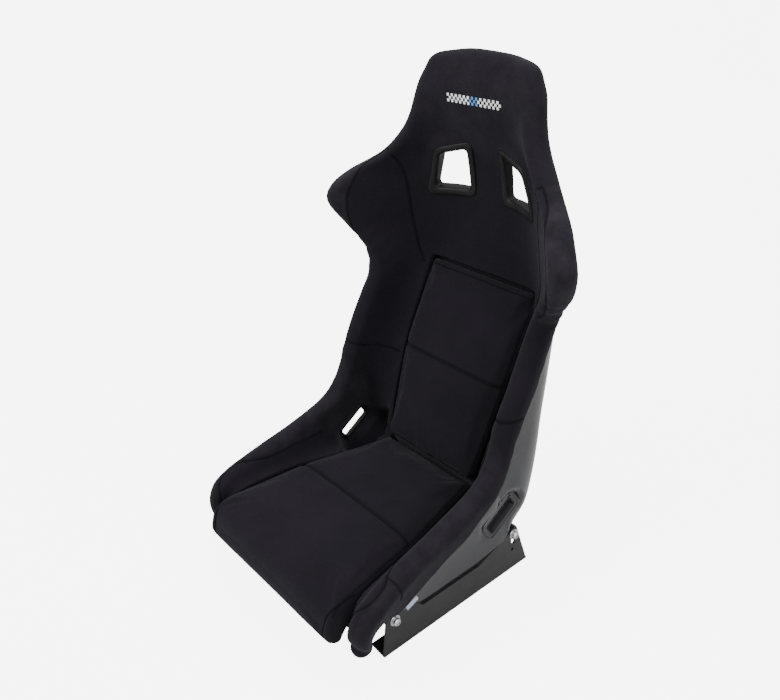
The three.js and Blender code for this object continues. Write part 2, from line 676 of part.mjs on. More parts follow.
// The top of the head: the cover goes right over the moulding's upper edge and rounds off.
function makeHeadCrown() {
  const sections = [LAST_STATION - 0.7, LAST_STATION - 0.3, LAST_STATION].map(sectionAt);
  const flat = sections.map(crownRing);
  const rings = flat.map((ring, i) => ring.map((p) => placeInSection(sections[i], p)));
  const top = sections.at(-1);
  const rise = new THREE.Vector3(0, top.up[1], -top.up[0]);
  const centre = placeInSection(top, [0, 4]);
  const widest = Math.max(...flat[2].map(([x]) => x));
  for (const angle of [0.5, 0.95, 1.3]) {
    const round = 1 - Math.cos(angle);
    rings.push(rings[2].map((p) => {
      const moved = p.clone().sub(centre);
      const bulge = CROWN.bulge * (1 - (moved.x / widest) ** 2);
      moved.x *= 1 - CROWN.side * round;
      moved.y *= 1 - CROWN.inset * round;
      return moved.add(centre).addScaledVector(rise, (CROWN.height + bulge) * Math.sin(angle));
    }));
    flat.push(flat[2]);
  }
  return loft(rings, flat);
}

function crownRing(section) {
  const outline = trimOutline(section);
  const shell = shellOutline(section);
  const face = [0.3, 0.45, 0.65, 0.8, 1].map((s) => outline(s));
  const edge = edgeRing(section, face, section.wall[0] * 0.4).slice(0, face.length + 6);
  const back = [0.95, 0.7, 0.3].map((s) => offsetPoint(shell, s, -SHELL_THICKNESS - FLAP_THICKNESS));
  const half = [...edge, ...back];
  return [...half, ...mirrored(half)];
}

function makeHeadPad() {
  const body = loftAlong(NECK_STATION + SEAM_GAP, LAST_STATION, headRing);
  return cut(join(body, makeHeadCrown()), shellRoom(), ...harnessRooms().flatMap(bothSides));
}

// A cushion: rounded rectangles between its resting face and its shown face, slightly crowned.
function makeCushion(rows, crown) {
  const side = [
    [1, -4, 0],
    [1, 0, 0.2],
    [1, 0, 0.72],
    [1, -5, 0.92],
    [1, -14, 1],
    [0.5, 0, 1 + crown * 0.8],
    [0, 0, 1 + crown],
  ];
  const flat = rows.map(({ half }) => {
    const right = side.map(([share, inset, rise]) => [half * share + inset, rise]);
    return [...right, ...mirrored(right.slice(0, -1))];
  });
  const rings = flat.map((ring, i) => ring.map(([x, rise]) => betweenFaces(rows[i], x, rise)));
  return loft(rings, flat.map((ring, i) => ring.map(([x, rise]) => [x, rise * (20 + i)])));
}

// Hook-and-loop strip under a cushion, midway between two of its rows.
function makeStrip(rows, index, length) {
  const [a, b] = [rows[index].rest, rows[index + 1].rest];
  const along = new THREE.Vector3(0, b[0] - a[0], b[1] - a[1]).normalize();
  const middle = new THREE.Vector3(0, (a[0] + b[0]) / 2, (a[1] + b[1]) / 2);
  const inward = new THREE.Vector3().crossVectors(new THREE.Vector3(1, 0, 0), along);
  const face = rows[index].face;
  if (inward.dot(new THREE.Vector3(0, face[0] - a[0], face[1] - a[1])) > 0) {
    inward.negate();
  }
  middle.addScaledVector(inward, CUSHION_CLEARANCE / 2);
  const frame = frameFrom(middle, new THREE.Vector3(1, 0, 0), inward);
  return new THREE.BoxGeometry(length, STRIP.width, STRIP.thickness).applyMatrix4(frame);
}

// Blank woven tag that hangs from the cover's hem over the front bolt.
function makeTag() {
  const [long, wide, thick] = TAG_SIZE;
  return new THREE.BoxGeometry(thick, long, wide).rotateX(TAG_PLACE.tilt).translate(...TAG_PLACE.centre);
}

// ---------------------------------------------------------------- brackets and fasteners
// Side plate outline (y, z): slanted front, front tab, low waist, rear tab round the bolt.
function bracketOutline() {
  const tab = 13;
  const shape = new THREE.Shape();
  shape.moveTo(-171, 0);
  shape.lineTo(-160, 76);
  shape.quadraticCurveTo(-159, 82, -153, 82);
  shape.lineTo(-104, 82);
  shape.quadraticCurveTo(-99, 82, -96, 79);
  shape.lineTo(-80, 60);
  shape.lineTo(57, 60);
  shape.lineTo(REAR_BOLT.y - tab * 0.87, REAR_BOLT.z + tab * 0.5);
  shape.absarc(REAR_BOLT.y, REAR_BOLT.z, tab, Math.PI * 0.82, 0, true);
  shape.lineTo(185, 0);
  return shape;
}

function slot(y, z, radius, travel) {
  const path = new THREE.Path();
  path.absarc(y, z, radius, 0, Math.PI, false);
  path.absarc(y, z - travel, radius, Math.PI, 2 * Math.PI, false);
  return path;
}

function makeBracket() {
  const shape = bracketOutline();
  shape.holes.push(slot(FRONT_BOLT.y, FRONT_BOLT.z, HOLE_RADIUS, 0));
  shape.holes.push(slot(REAR_BOLT.y, REAR_BOLT.z, HOLE_RADIUS, SLOT_TRAVEL));
  shape.holes.push(slot(REAR_BOLT.y - 2, REAR_BOLT.z - 36, 3.2, 0));
  const toYZ = new THREE.Matrix4().makeBasis(
    new THREE.Vector3(0, 1, 0),
    new THREE.Vector3(0, 0, 1),
    new THREE.Vector3(1, 0, 0),
  );
  const web = new THREE.ExtrudeGeometry(shape, { depth: PLATE, bevelEnabled: false, curveSegments: 6 });
  web.applyMatrix4(toYZ).translate(BRACKET_INNER_X, 0, 0);
  const outer = BRACKET_INNER_X + PLATE;
  const foot = new THREE.Shape();
  foot.moveTo(outer, -171);
  foot.lineTo(outer, 185);
  foot.lineTo(outer - FLANGE, 185);
  foot.lineTo(outer - FLANGE, -169);
  for (const y of [-135, 125]) {
    foot.holes.push(slot(outer - FLANGE / 2 - 3, y + 12, 4.5, 24));
  }
  const flange = new THREE.ExtrudeGeometry(foot, { depth: PLATE, bevelEnabled: false, curveSegments: 4 });
  return join(web, flange);
}

// A washer-like ring across the seat, from its inner face outwards.
function ring(bolt, from, thickness, outer, inner) {
  const shape = new THREE.Shape();
  shape.absarc(0, 0, outer, 0, 2 * Math.PI, false);
  const hole = new THREE.Path();
  hole.absarc(0, 0, inner, 0, 2 * Math.PI, true);
  shape.holes.push(hole);
  return new THREE.ExtrudeGeometry(shape, { depth: thickness, bevelEnabled: false, curveSegments: 8 })
    .rotateY(Math.PI / 2)
    .translate(from, bolt.y, bolt.z);
}

function makeWasher(bolt) {
  return ring(bolt, STACK.washer, 1.6, 10.5, 4.4);
}

function makeSpringWasher(bolt) {
  const gap = new THREE.BoxGeometry(6, 1.4, 8).rotateX(0.4).translate(STACK.spring, bolt.y, bolt.z + 6);
  return cut(ring(bolt, STACK.spring, 2, 7.2, 4.4), gap);
}

// Button-head socket screw.
function makeBolt(bolt) {
  const profile = [
    [0, 180], [BOLT_RADIUS - 0.6, 180], [BOLT_RADIUS, 181], [BOLT_RADIUS, STACK.head],
    [7.4, STACK.head], [7.4, STACK.head + 2], [6.6, STACK.head + 4.2], [5, STACK.head + 5.2],
    [0, STACK.head + 5.2],
  ].map(([r, x]) => new THREE.Vector2(r, x));
  const body = new THREE.LatheGeometry(profile, 12).rotateZ(-Math.PI / 2).translate(0, bolt.y, bolt.z);
  const socket = crossCylinder(2.9, STACK.head + 2.4, STACK.head + 8, bolt, 6);
  return cut(body, socket);
}

// Flanged threaded insert that the bolt screws into, seated in the moulding's boss.
function makeInsert(bolt) {
  const flangeEnd = BOSS.inner - 0.3;
  const profile = [
    [INSERT.thread, INSERT.end],
    [INSERT.flange, INSERT.end],
    [INSERT.flange, flangeEnd],
    [INSERT.barrel, flangeEnd],
    [INSERT.barrel, BOSS.outer - 1],
    [INSERT.thread, BOSS.outer - 1],
    [INSERT.thread, INSERT.end],
  ].map(([r, x]) => new THREE.Vector2(r, x));
  return new THREE.LatheGeometry(profile, 12).rotateZ(-Math.PI / 2).translate(0, bolt.y, bolt.z);
}

// ---------------------------------------------------------------- assembly
const model = new THREE.Group();
const bucket = new THREE.Group();
bucket.rotation.x = RAKE;
bucket.position.z = LIFT;
model.add(bucket);

function add(group, name, geometry, material) {
  const mesh = new THREE.Mesh(geometry, material);
  mesh.name = name;
  group.add(mesh);
}

function addPair(group, name, geometry, material) {
  add(group, `${name}_right`, geometry, material);
  add(group, `${name}_left`, mirrorX(geometry), material);
}

add(bucket, "shell", makeShell(), FIBREGLASS);
add(bucket, "back_lining_pad", makeBackLiner(), JERSEY);
add(bucket, "headrest_pad", makeHeadPad(), JERSEY);
add(bucket, "seat_base_foam", makeBaseFoam(), FOAM);
addPair(bucket, "thigh_bolster", makeThighBolster(), JERSEY);
addPair(bucket, "shoulder_bolster", makeShoulderBolster(), JERSEY);
add(bucket, "seat_cushion", makeCushion(SEAT_CUSHION, 0.05), CUSHION_JERSEY);
add(bucket, "back_cushion", makeCushion(BACK_CUSHION, 0.1), CUSHION_JERSEY);
add(bucket, "seat_hook_strip_front", makeStrip(SEAT_CUSHION, 5, STRIP.length), HOOK_TAPE);
add(bucket, "seat_hook_strip_rear", makeStrip(SEAT_CUSHION, 7, STRIP.length), HOOK_TAPE);
add(bucket, "back_hook_strip_lower", makeStrip(BACK_CUSHION, 2, STRIP.length), HOOK_TAPE);
add(bucket, "back_hook_strip_upper", makeStrip(BACK_CUSHION, 5, STRIP.length), HOOK_TAPE);
addPair(bucket, "harness_bezel", harnessBezel(), MOULDED_PLASTIC);
addPair(bucket, "harness_rear_ring", harnessRearRing(), MOULDED_PLASTIC);
addPair(bucket, "lap_belt_bezel", lapBezel(), MOULDED_PLASTIC);
add(bucket, "side_tag", makeTag(), TAG);
addPair(model, "bracket", makeBracket(), POWDER_COAT);
for (const [place, bolt] of [["front", FRONT_BOLT], ["rear", REAR_BOLT]]) {
  addPair(model, `${place}_bolt`, makeBolt(bolt), ZINC);
  addPair(model, `${place}_washer`, makeWasher(bolt), ZINC);
  addPair(model, `${place}_spring_washer`, makeSpringWasher(bolt), ZINC);
  addPair(model, `${place}_insert`, makeInsert(bolt), ZINC);
}

// The origin is the middle of the footprint, on the floor.
const extent = new THREE.Box3().setFromObject(model, true);
const middle = extent.getCenter(new THREE.Vector3());
model.position.set(-middle.x, -middle.y, -extent.min.z);

export default model;
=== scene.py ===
import math
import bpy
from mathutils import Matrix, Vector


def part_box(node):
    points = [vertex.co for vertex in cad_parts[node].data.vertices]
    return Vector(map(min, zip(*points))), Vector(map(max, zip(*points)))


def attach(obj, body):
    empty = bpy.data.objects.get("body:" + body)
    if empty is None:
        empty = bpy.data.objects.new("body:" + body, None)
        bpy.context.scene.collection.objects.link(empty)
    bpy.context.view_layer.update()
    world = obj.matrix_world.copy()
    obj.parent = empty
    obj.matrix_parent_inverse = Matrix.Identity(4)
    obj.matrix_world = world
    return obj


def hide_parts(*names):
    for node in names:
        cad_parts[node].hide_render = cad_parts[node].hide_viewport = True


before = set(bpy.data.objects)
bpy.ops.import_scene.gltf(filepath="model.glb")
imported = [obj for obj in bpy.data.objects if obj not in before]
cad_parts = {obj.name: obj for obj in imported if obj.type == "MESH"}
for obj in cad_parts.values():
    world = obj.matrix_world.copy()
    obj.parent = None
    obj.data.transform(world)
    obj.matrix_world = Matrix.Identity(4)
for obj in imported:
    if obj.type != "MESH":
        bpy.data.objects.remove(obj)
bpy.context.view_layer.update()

from types import SimpleNamespace

import bpy
import numpy as np
from mathutils import Matrix, Vector
from mathutils.bvhtree import BVHTree
from mathutils.kdtree import KDTree

# ------------------------------------------------------------------ the seat's own dimensions, mm
# A seat is drawn in its moulding frame, then raked and lifted into its brackets.
RAKE = math.radians(-1.93)
LIFT = -17.8
BRACKET_FRONT_Y = -171
SHIFT_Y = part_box("bracket_right")[0].y * 1000 - BRACKET_FRONT_Y
SHELL_THICKNESS = 5
FLAP_THICKNESS = 7

# Stations along the seat: spine (y, z), padded roll (x, y, z, radius), moulding corner (x, rounding),
# padded face (height, corner x, rounding), cover (half-width where a bolster starts, outside flap).
STATIONS = np.array([
    [-200, 62, 212, -218, 74, 18, 200, 18, 6, 190, 6, 186, 13],
    [-197, 61.5, 219, -230, 92, 20, 205, 41, 21, 194, 10, 192, 30],
    [-193, 61, 225, -232, 116, 21, 206, 58, 48, 198, 10, 196, 48],
    [-188, 60, 227, -220, 141, 22, 203, 75, 80, 201, 10, 198, 65],
    [-181, 57.5, 227, -196, 157, 22, 200, 90, 98, 198, 12, 192, 74],
    [-160, 54, 224, -163, 172, 22, 196, 92, 106, 192, 14, 187, 74],
    [-120, 52, 221, -115, 187, 22, 196, 45, 112, 186, 16, 181, 62],
    [-60, 50, 218, -55, 203, 22, 197, 36, 114, 182, 20, 171.5, 39],
    [0, 49, 216, 0, 221, 22, 197.5, 41, 115, 188, 28, 156.5, 35],
    [60, 49, 215, 38, 239, 21, 198, 44, 112, 198, 28, 144.5, 22],
    [120, 51, 215, 62, 258, 20, 200, 52, 113, 203, 28, 134.5, 19],
    [146, 57.5, 214.5, 71, 270, 20, 201, 75, 112.5, 203, 32, 131, 18.5],
    [170, 66, 214, 80, 282, 20, 211, 142, 112, 202, 38, 127.5, 18],
    [205, 105, 213, 93, 308, 21, 224, 160, 134, 199, 50, 130, 15],
    [222, 160, 212, 103, 334, 22, 219, 140, 124, 193, 60, 135, 15],
    [232, 230, 212, 116, 364, 22, 212, 112, 98, 190, 54, 140, 15],
    [243, 310, 213, 136, 404, 22, 204, 96, 72, 187, 50, 145, 15],
    [258, 390, 211, 161, 450, 22, 196, 84, 50, 180, 44, 144.5, 15],
    [276, 465, 210, 184, 496, 22, 182, 76, 36, 170, 40, 142.5, 15],
    [291, 535, 224, 190, 545, 22, 164, 84, 23, 148, 52, 137.5, 16],
    [299, 595, 258, 172, 592, 23, 144, 88, 20, 122, 72, 121, 20],
    [301, 645, 282, 147, 638, 23, 134, 90, 20, 108, 78, 115, 22],
    [299, 682, 273, 151, 672, 22, 130, 88, 20, 104, 78, 115, 22],
    [296, 716, 243, 176, 703, 21, 128, 84, 20, 104, 74, 106, 20],
    [291, 752, 190, 212, 740, 21, 124, 66, 20, 102, 52, 106, 18],
    [287, 787, 155, 230, 780, 21, 112, 52, 31, 96, 42, 134, 16],
    [284, 817, 137, 238, 814, 21, 102, 42, 40, 88, 34, 120, 16],
    [281, 848, 129, 243, 847, 21, 95, 34, 46, 82, 28, 111, 15],
    [277, 874, 124, 249, 874, 20, 87, 26, 42, 72, 22, 94, 13],
    [272, 894, 112, 254, 896, 19, 80, 16, 30, 64, 16, 78, 11],
], float)
LAST = len(STATIONS) - 1

# Cushion rows: resting face (y, z), shown face (y, z), half-width.
SEAT_ROWS = np.array([
    [-244, 88, -260, 86, 196],
    [-239, 99, -268, 103, 197],
    [-230, 110, -264, 134, 197],
    [-216, 116, -247, 154, 195.5],
    [-190, 118, -208, 164, 190],
    [-130, 119, -132, 169, 179.5],
    [-60, 120, -60, 172, 169.5],
    [20, 122, 20, 176, 148],
    [80, 125, 80, 179, 132],
    [138, 129, 120, 182, 121],
], float)
BACK_ROWS = np.array([
    [176, 191, 116, 186, 123],
    [186, 225, 130, 224, 127.5],
    [198, 275, 148, 274, 132.5],
    [213, 330, 168, 330, 138],
    [228, 385, 190, 383, 141.5],
    [246, 440, 216, 437, 141],
    [264, 495, 243, 490, 139],
    [273, 527, 259, 526, 134],
], float)
HARNESS_CORNERS = [(46, 279, 680), (120, 260, 675), (100, 248, 741), (45, 265, 757)]
LAP_LOW, LAP_HIGH, LAP_WIDTH = (73, 156), (127, 193), 22
FRONT_BOLT, REAR_BOLT = (-143, 69), (147, 82)
HARNESS_DISH = 17
# Bosses and bores for the bolts: radius, start and end across the seat.
BOSS = (16, 168, 206.5, "UNION")
BORE = (6, 150, 230, "DIFFERENCE")
# The thin wall round a lap slot lies at this distance from the middle of the seat.
LAP_PLANE = 213
LAP_ORIGIN_X = 200
CROWN_HEIGHT, CROWN_BULGE = 27, 10
CUSHION_CLEARANCE = 0.5

# Metres.
VOXEL = 0.003
CUSHION_VOXEL = 0.005
THREAD_RADIUS = 0.0005
CHANNEL_THREAD_RADIUS = 0.0006
RAY_LENGTH = 0.3
TILE_RISE, TILE_THICKNESS = 0.0007, 0.0012
# The step back of a smoothing that flattens what it smooths.
FLATTEN = 0.3

# The camera's direction and the light's surroundings.
AZIMUTH, ELEVATION, ROLL = math.radians(50.98), math.radians(27.15), math.radians(-2.0)
CAMERA_PLACE = (1017, -789, 1120)
LENS, SENSOR = 38.28, 36
WORLD_SEEN, WORLD_LIGHT, FLOOR_SEEN = 10.0, 0.8, 6.0


# ------------------------------------------------------------------ curves
def catmull(table, place):
    """A row of a table at a fractional place, by a smooth curve through its rows."""
    i = int(max(0, min(math.floor(place), len(table) - 2)))
    t = place - i
    a, b, c, d = (table[max(0, min(len(table) - 1, k))] for k in (i - 1, i, i + 1, i + 2))
    return 0.5 * (2 * b + t * ((c - a) + t * ((2 * a - 5 * b + 4 * c - d) + t * (3 * b - a - 3 * c + d))))


def section(place):
    """The cross-section at a place along the stations, in its own plane."""
    sy, sz, rx, ry, rz, r, wx, wr, th, tx, tr, split, flap = catmull(STATIONS, place)
    height = math.hypot(ry - sy, rz - sz)
    return SimpleNamespace(
        origin=(sy, sz), up=((ry - sy) / height, (rz - sz) / height), roll=(rx, height), radius=r,
        rim=(rx + 10, height - 2), wall=(wx, wr), trim=(th, tx, tr), split=split, flap=flap)


def bucket_outline(floor, corner, rounding, end):
    """Half of a bucket's outline: flat for s below 0.3, a bend, and a straight wall from 0.8."""
    end = np.array(end, float)
    along = end - (corner, floor)
    length = np.linalg.norm(along)
    used = min(rounding, length * 0.9, corner * 0.95)
    start = np.array([corner - used, floor])
    knee = np.array([corner, floor], float)
    stop = knee + along / length * used

    def at(s):
        s = np.atleast_1d(np.asarray(s, float))[:, None]
        t = np.clip((s - 0.3) / 0.5, 0, 1)
        bend = (1 - t) ** 2 * start + 2 * t * (1 - t) * knee + t * t * stop
        flat = np.hstack([start[0] * s / 0.3, np.full_like(s, floor)])
        wall = stop + (end - stop) * (s - 0.8) / 0.2
        return np.where(s < 0.3, flat, np.where(s > 0.8, wall, bend))

    return at


def shell_outline(sec):
    return bucket_outline(0, sec.wall[0], sec.wall[1], sec.rim)


def roll_contact(sec):
    """Where the padded face runs onto the padded roll: the angle on the roll and the point."""
    height, corner, _ = sec.trim
    away = np.array([corner, height]) - sec.roll
    turn = math.acos(min(1, sec.radius / np.linalg.norm(away)))
    angle = math.atan2(away[1], away[0]) - turn
    return angle, np.array(sec.roll) + sec.radius * np.array([math.cos(angle), math.sin(angle)])


def trim_outline(sec):
    return bucket_outline(*sec.trim, roll_contact(sec)[1])


def offset(outline, s, distance):
    """Points beside an outline, on its inner side for a positive distance."""
    s = np.atleast_1d(np.asarray(s, float))
    a, b = outline(np.maximum(0, s - 1e-3)), outline(np.minimum(1, s + 1e-3))
    d = (b - a) / np.linalg.norm(b - a, axis=1)[:, None]
    return outline(s) + np.stack([-d[:, 1], d[:, 0]], 1) * distance


def reach(outline, axis, value):
    """The parameter at which an outline reaches a coordinate."""
    s = np.linspace(0, 1, 400)
    return float(np.interp(value, outline(s)[:, axis], s))


def in_section(sec, points):
    x, h = points[:, 0], points[:, 1]
    return np.stack([x, sec.origin[0] + sec.up[0] * h, sec.origin[1] + sec.up[1] * h], 1)


def to_row(points):
    """Millimetres in the moulding frame to metres in the row frame."""
    p = np.asarray(points, float).reshape(-1, 3)
    y = p[:, 1] * math.cos(RAKE) - p[:, 2] * math.sin(RAKE) + SHIFT_Y
    z = p[:, 1] * math.sin(RAKE) + p[:, 2] * math.cos(RAKE) + LIFT
    return np.stack([p[:, 0], y, z], 1) / 1000


def turn_to_row(v):
    x, y, z = v
    return Vector((x, y * math.cos(RAKE) - z * math.sin(RAKE), y * math.sin(RAKE) + z * math.cos(RAKE)))


def smooth_line(points, count=40):
    table = np.asarray(points, float)
    return np.array([catmull(table, p) for p in np.linspace(0, len(table) - 1, count)])


# ------------------------------------------------------------------ mesh helpers
def new_object(name, points, faces):
    mesh = bpy.data.meshes.new(name)
    mesh.from_pydata([tuple(p) for p in points], [], [tuple(int(i) for i in f) for f in faces])
    mesh.update()
    obj = bpy.data.objects.new(name, mesh)
    bpy.context.scene.collection.objects.link(obj)
    return obj


def ring_faces(rows, count, closed_rows=False, base=0):
    faces = []
    for r in range(rows if closed_rows else rows - 1):
        for k in range(count):
            a, b = base + r * count + k, base + r * count + (k + 1) % count
            up = ((r + 1) % rows - r) * count
            faces.append((a, b, b + up, a + up))
    return faces


def loft_mesh(rings, base=0):
    """Points and faces of a closed solid through rings of equal count, with flat ends."""
    count = len(rings[0])
    faces = ring_faces(len(rings), count, base=base)
    faces.append(tuple(base + k for k in reversed(range(count))))
    faces.append(tuple(base + (len(rings) - 1) * count + k for k in range(count)))
    return np.concatenate(rings), faces


def fix_normals(obj):
    mesh = obj.data
    mesh.calc_loop_triangles()
    co = coordinates(obj)
    t = np.array([lt.vertices for lt in mesh.loop_triangles])
    volume = np.einsum("ij,ij->i", co[t[:, 0]], np.cross(co[t[:, 1]], co[t[:, 2]])).sum()
    if volume < 0:
        mesh.flip_normals()
    return obj


def coordinates(obj):
    co = np.zeros(len(obj.data.vertices) * 3)
    obj.data.vertices.foreach_get("co", co)
    return co.reshape(-1, 3)


def set_coordinates(obj, co):
    obj.data.vertices.foreach_set("co", np.ascontiguousarray(co).ravel())
    obj.data.update()


def normals(obj):
    n = np.zeros(len(obj.data.vertices) * 3, np.float32)
    obj.data.vertex_normals.foreach_get("vector", n)
    return n.reshape(-1, 3).astype(float)


def with_modifier(obj, kind, **settings):
    mod = obj.modifiers.new(kind.lower(), kind)
    for key, value in settings.items():
        setattr(mod, key, value)
    graph = bpy.context.evaluated_depsgraph_get()
    mesh = bpy.data.meshes.new_from_object(obj.evaluated_get(graph))
    obj.modifiers.clear()
    old = obj.data
    obj.data = mesh
    bpy.data.meshes.remove(old)
    return obj


def boolean(obj, tool, operation="DIFFERENCE"):
    with_modifier(obj, "BOOLEAN", object=tool, operation=operation, solver="MANIFOLD")
    bpy.data.objects.remove(tool)
    return obj


def remesh(obj, size):
    return with_modifier(obj, "REMESH", mode="VOXEL", voxel_size=size)


def relax(obj, rounds, weight=None, back=-0.57):
    """Smooths a mesh. A negative step back keeps its volume, a positive one flattens it."""
    mesh = obj.data
    e = np.zeros(len(mesh.edges) * 2, np.int64)
    mesh.edges.foreach_get("vertices", e)
    a, b = e[0::2], e[1::2]
    co = coordinates(obj)
    n = len(co)
    degree = np.maximum(1, np.bincount(a, minlength=n) + np.bincount(b, minlength=n))
    for i in range(rounds * 2):
        step = 0.55 if i % 2 == 0 else back
        total = [np.bincount(a, co[b, k], n) + np.bincount(b, co[a, k], n) for k in range(3)]
        mean = np.stack(total, 1) / degree[:, None]
        move = (mean - co) * step
        co = co + (move if weight is None else move * weight[:, None])
    set_coordinates(obj, co)
    return obj


def shade(obj, angle=None):
    mesh = obj.data
    mesh.shade_smooth()
    if angle is not None:
        mesh.set_sharp_from_angle(angle=math.radians(angle))
    return obj


def surface(obj):
    graph = bpy.context.evaluated_depsgraph_get()
    return BVHTree.FromObject(obj, graph)


def tube(name, line, radius, sides=6):
    """A thin round thread along a line of row-frame points."""
    line = np.asarray(line, float)
    after, before = np.roll(line, -1, 0), np.roll(line, 1, 0)
    after[-1], before[0] = line[-1], line[0]
    tangent = after - before
    tangent /= np.maximum(1e-12, np.linalg.norm(tangent, axis=1))[:, None]
    side = np.cross(tangent, (0.31, 0.17, 0.93))
    side /= np.maximum(1e-9, np.linalg.norm(side, axis=1))[:, None]
    other = np.cross(tangent, side)
    angle = np.linspace(0, 2 * math.pi, sides, endpoint=False)
    rings = line[:, None] + radius * (
        np.cos(angle)[None, :, None] * side[:, None] + np.sin(angle)[None, :, None] * other[:, None])
    faces = ring_faces(len(line), sides)
    faces.append(tuple(range(sides)))
    faces.append(tuple((len(line) - 1) * sides + k for k in reversed(range(sides))))
    return shade(new_object(name, rings.reshape(-1, 3), faces), 60)


def merged(name, objs):
    """One object of several."""
    points, faces, base = [], [], 0
    for o in objs:
        points.append(coordinates(o))
        faces += [tuple(i + base for i in p.vertices) for p in o.data.polygons]
        base += len(o.data.vertices)
        bpy.data.objects.remove(o)
    return new_object(name, np.concatenate(points), faces)


def mirror_copy(obj, name):
    co = coordinates(obj) * (-1, 1, 1)
    return shade(new_object(name, co, [tuple(reversed(p.vertices)) for p in obj.data.polygons]), 40)


# ------------------------------------------------------------------ openings
def frame_from(origin, across, direction):
    """Axes, as rows, and origin of a flat frame whose Z is the direction."""
    z = direction / np.linalg.norm(direction)
    y = np.cross(z, across)
    y /= np.linalg.norm(y)
    return np.array([np.cross(y, z), y, z]), np.asarray(origin, float)


def place_in(fr, local):
    axes, origin = fr
    return origin + np.asarray(local, float) @ axes


def rounded(corners, rounding, margin, steps=9):
    """A closed outline through corners, grown by a margin and rounded, with points 4 mm apart."""
    corners = np.asarray(corners, float)
    centre = corners.mean(0)
    n = len(corners)
    grown = []
    for i, p in enumerate(corners):
        a, b = p - corners[i - 1], p - corners[(i + 1) % n]
        a, b = a / np.linalg.norm(a), b / np.linalg.norm(b)
        bis = (a + b) / np.linalg.norm(a + b)
        sine = abs(a[0] * bis[1] - a[1] * bis[0])
        sign = 1 if bis @ (p - centre) > 0 else -1
        grown.append(p + bis * sign * margin / sine)
    points, back = [], rounding + margin * 0.6
    t = np.linspace(0, 1, steps)[:, None]
    for i, p in enumerate(grown):
        to_prev, to_next = grown[i - 1] - p, grown[(i + 1) % n] - p
        s = p + to_prev / np.linalg.norm(to_prev) * back
        e = p + to_next / np.linalg.norm(to_next) * back
        points.append((1 - t) ** 2 * s + 2 * t * (1 - t) * p + t * t * e)
    ring = np.concatenate(points)
    dense = []
    for i in range(len(ring)):
        a, b = ring[i], ring[(i + 1) % len(ring)]
        k = max(1, int(np.linalg.norm(b - a) / 4))
        dense += [a + (b - a) * j / k for j in range(k)]
    return np.array(dense)


def even(ring, count):
    """A closed outline resampled to a fixed count, starting at its first point."""
    closed = np.vstack([ring, ring[:1]])
    run = np.concatenate([[0], np.cumsum(np.linalg.norm(np.diff(closed, axis=0), axis=1))])
    at = np.linspace(0, run[-1], count, endpoint=False)
    return np.stack([np.interp(at, run, closed[:, 0]), np.interp(at, run, closed[:, 1])], 1)


corner_array = np.array(HARNESS_CORNERS, float)
HARNESS = frame_from(
    corner_array.mean(0), (1, 0, 0),
    np.cross(corner_array[3] - corner_array[1], corner_array[2] - corner_array[0]))
LAP = frame_from(
    (LAP_ORIGIN_X, (LAP_LOW[0] + LAP_HIGH[0]) / 2, (LAP_LOW[1] + LAP_HIGH[1]) / 2),
    (0, LAP_HIGH[0] - LAP_LOW[0], LAP_HIGH[1] - LAP_LOW[1]), np.array((1.0, 0, 0)))


def from_row(co):
    """Metres in the row frame to millimetres in the moulding frame."""
    y, z = co[:, 1] * 1000 - SHIFT_Y, co[:, 2] * 1000 - LIFT
    return np.stack([co[:, 0] * 1000, y * math.cos(RAKE) + z * math.sin(RAKE),
                     z * math.cos(RAKE) - y * math.sin(RAKE)], 1)


def smoothstep(v):
    v = np.clip(v, 0, 1)
    return v * v * (3 - 2 * v)


def outside_of(outline, xy):
    """Distance of points from an outline, negative inside it."""
    a, b = outline, np.roll(outline, -1, 0)
    ab = b - a
    t = np.clip(np.einsum("pij,ij->pi", xy[:, None] - a, ab) / (ab ** 2).sum(1), 0, 1)
    gap = np.linalg.norm(xy[:, None] - a - t[..., None] * ab, axis=2).min(1)
    inside = np.zeros(len(xy), bool)
    for p, q in zip(a, b):
        crossing = (p[1] > xy[:, 1]) != (q[1] > xy[:, 1])
        at = p[0] + (xy[:, 1] - p[1]) * (q[0] - p[0]) / (q[1] - p[1] + 1e-12)
        inside ^= crossing & (xy[:, 0] < at)
    return np.where(inside, -gap, gap)


def thin_around_openings(obj):
    """The moulding is dished from behind round the shoulder openings and from both sides round the
    lap slots, so that its wall is thin where the belts pass."""
    co = from_row(coordinates(obj))
    for side in (1, -1):
        near = co[:, 0] * side > 0
        local = (co[near] * (side, 1, 1) - HARNESS[1]) @ HARNESS[0].T
        far = outside_of(even(harness_outline(0), 60), local[:, :2])
        drop = HARNESS_DISH * smoothstep(1 - (far - 15) / 32) * smoothstep((local[:, 2] + 4) / 26)
        co[near] -= drop[:, None] * HARNESS[0][2] * (side, 1, 1)
        local = (co[near] * (side, 1, 1) - LAP[1]) @ LAP[0].T
        far = outside_of(even(lap_outline(0), 60), local[:, :2])
        depth = local[:, 2] + LAP_ORIGIN_X
        wall = smoothstep((depth - 206) / 6) * smoothstep(1 - (far - 15) / 12)
        middle = np.clip(depth, LAP_PLANE - 1, LAP_PLANE + 4)
        co[near] += ((middle - depth) * wall * side)[:, None] * (1, 0, 0)
    set_coordinates(obj, to_row(co))
    return obj


def harness_outline(margin):
    local = (corner_array - HARNESS[1]) @ HARNESS[0].T
    return rounded(local[:, :2], 11, margin)


def lap_outline(margin):
    half = math.hypot(LAP_HIGH[0] - LAP_LOW[0], LAP_HIGH[1] - LAP_LOW[1]) / 2
    w = LAP_WIDTH / 2
    return rounded([(-half, -w), (half, -w), (half, w), (-half, w)], 5, margin)


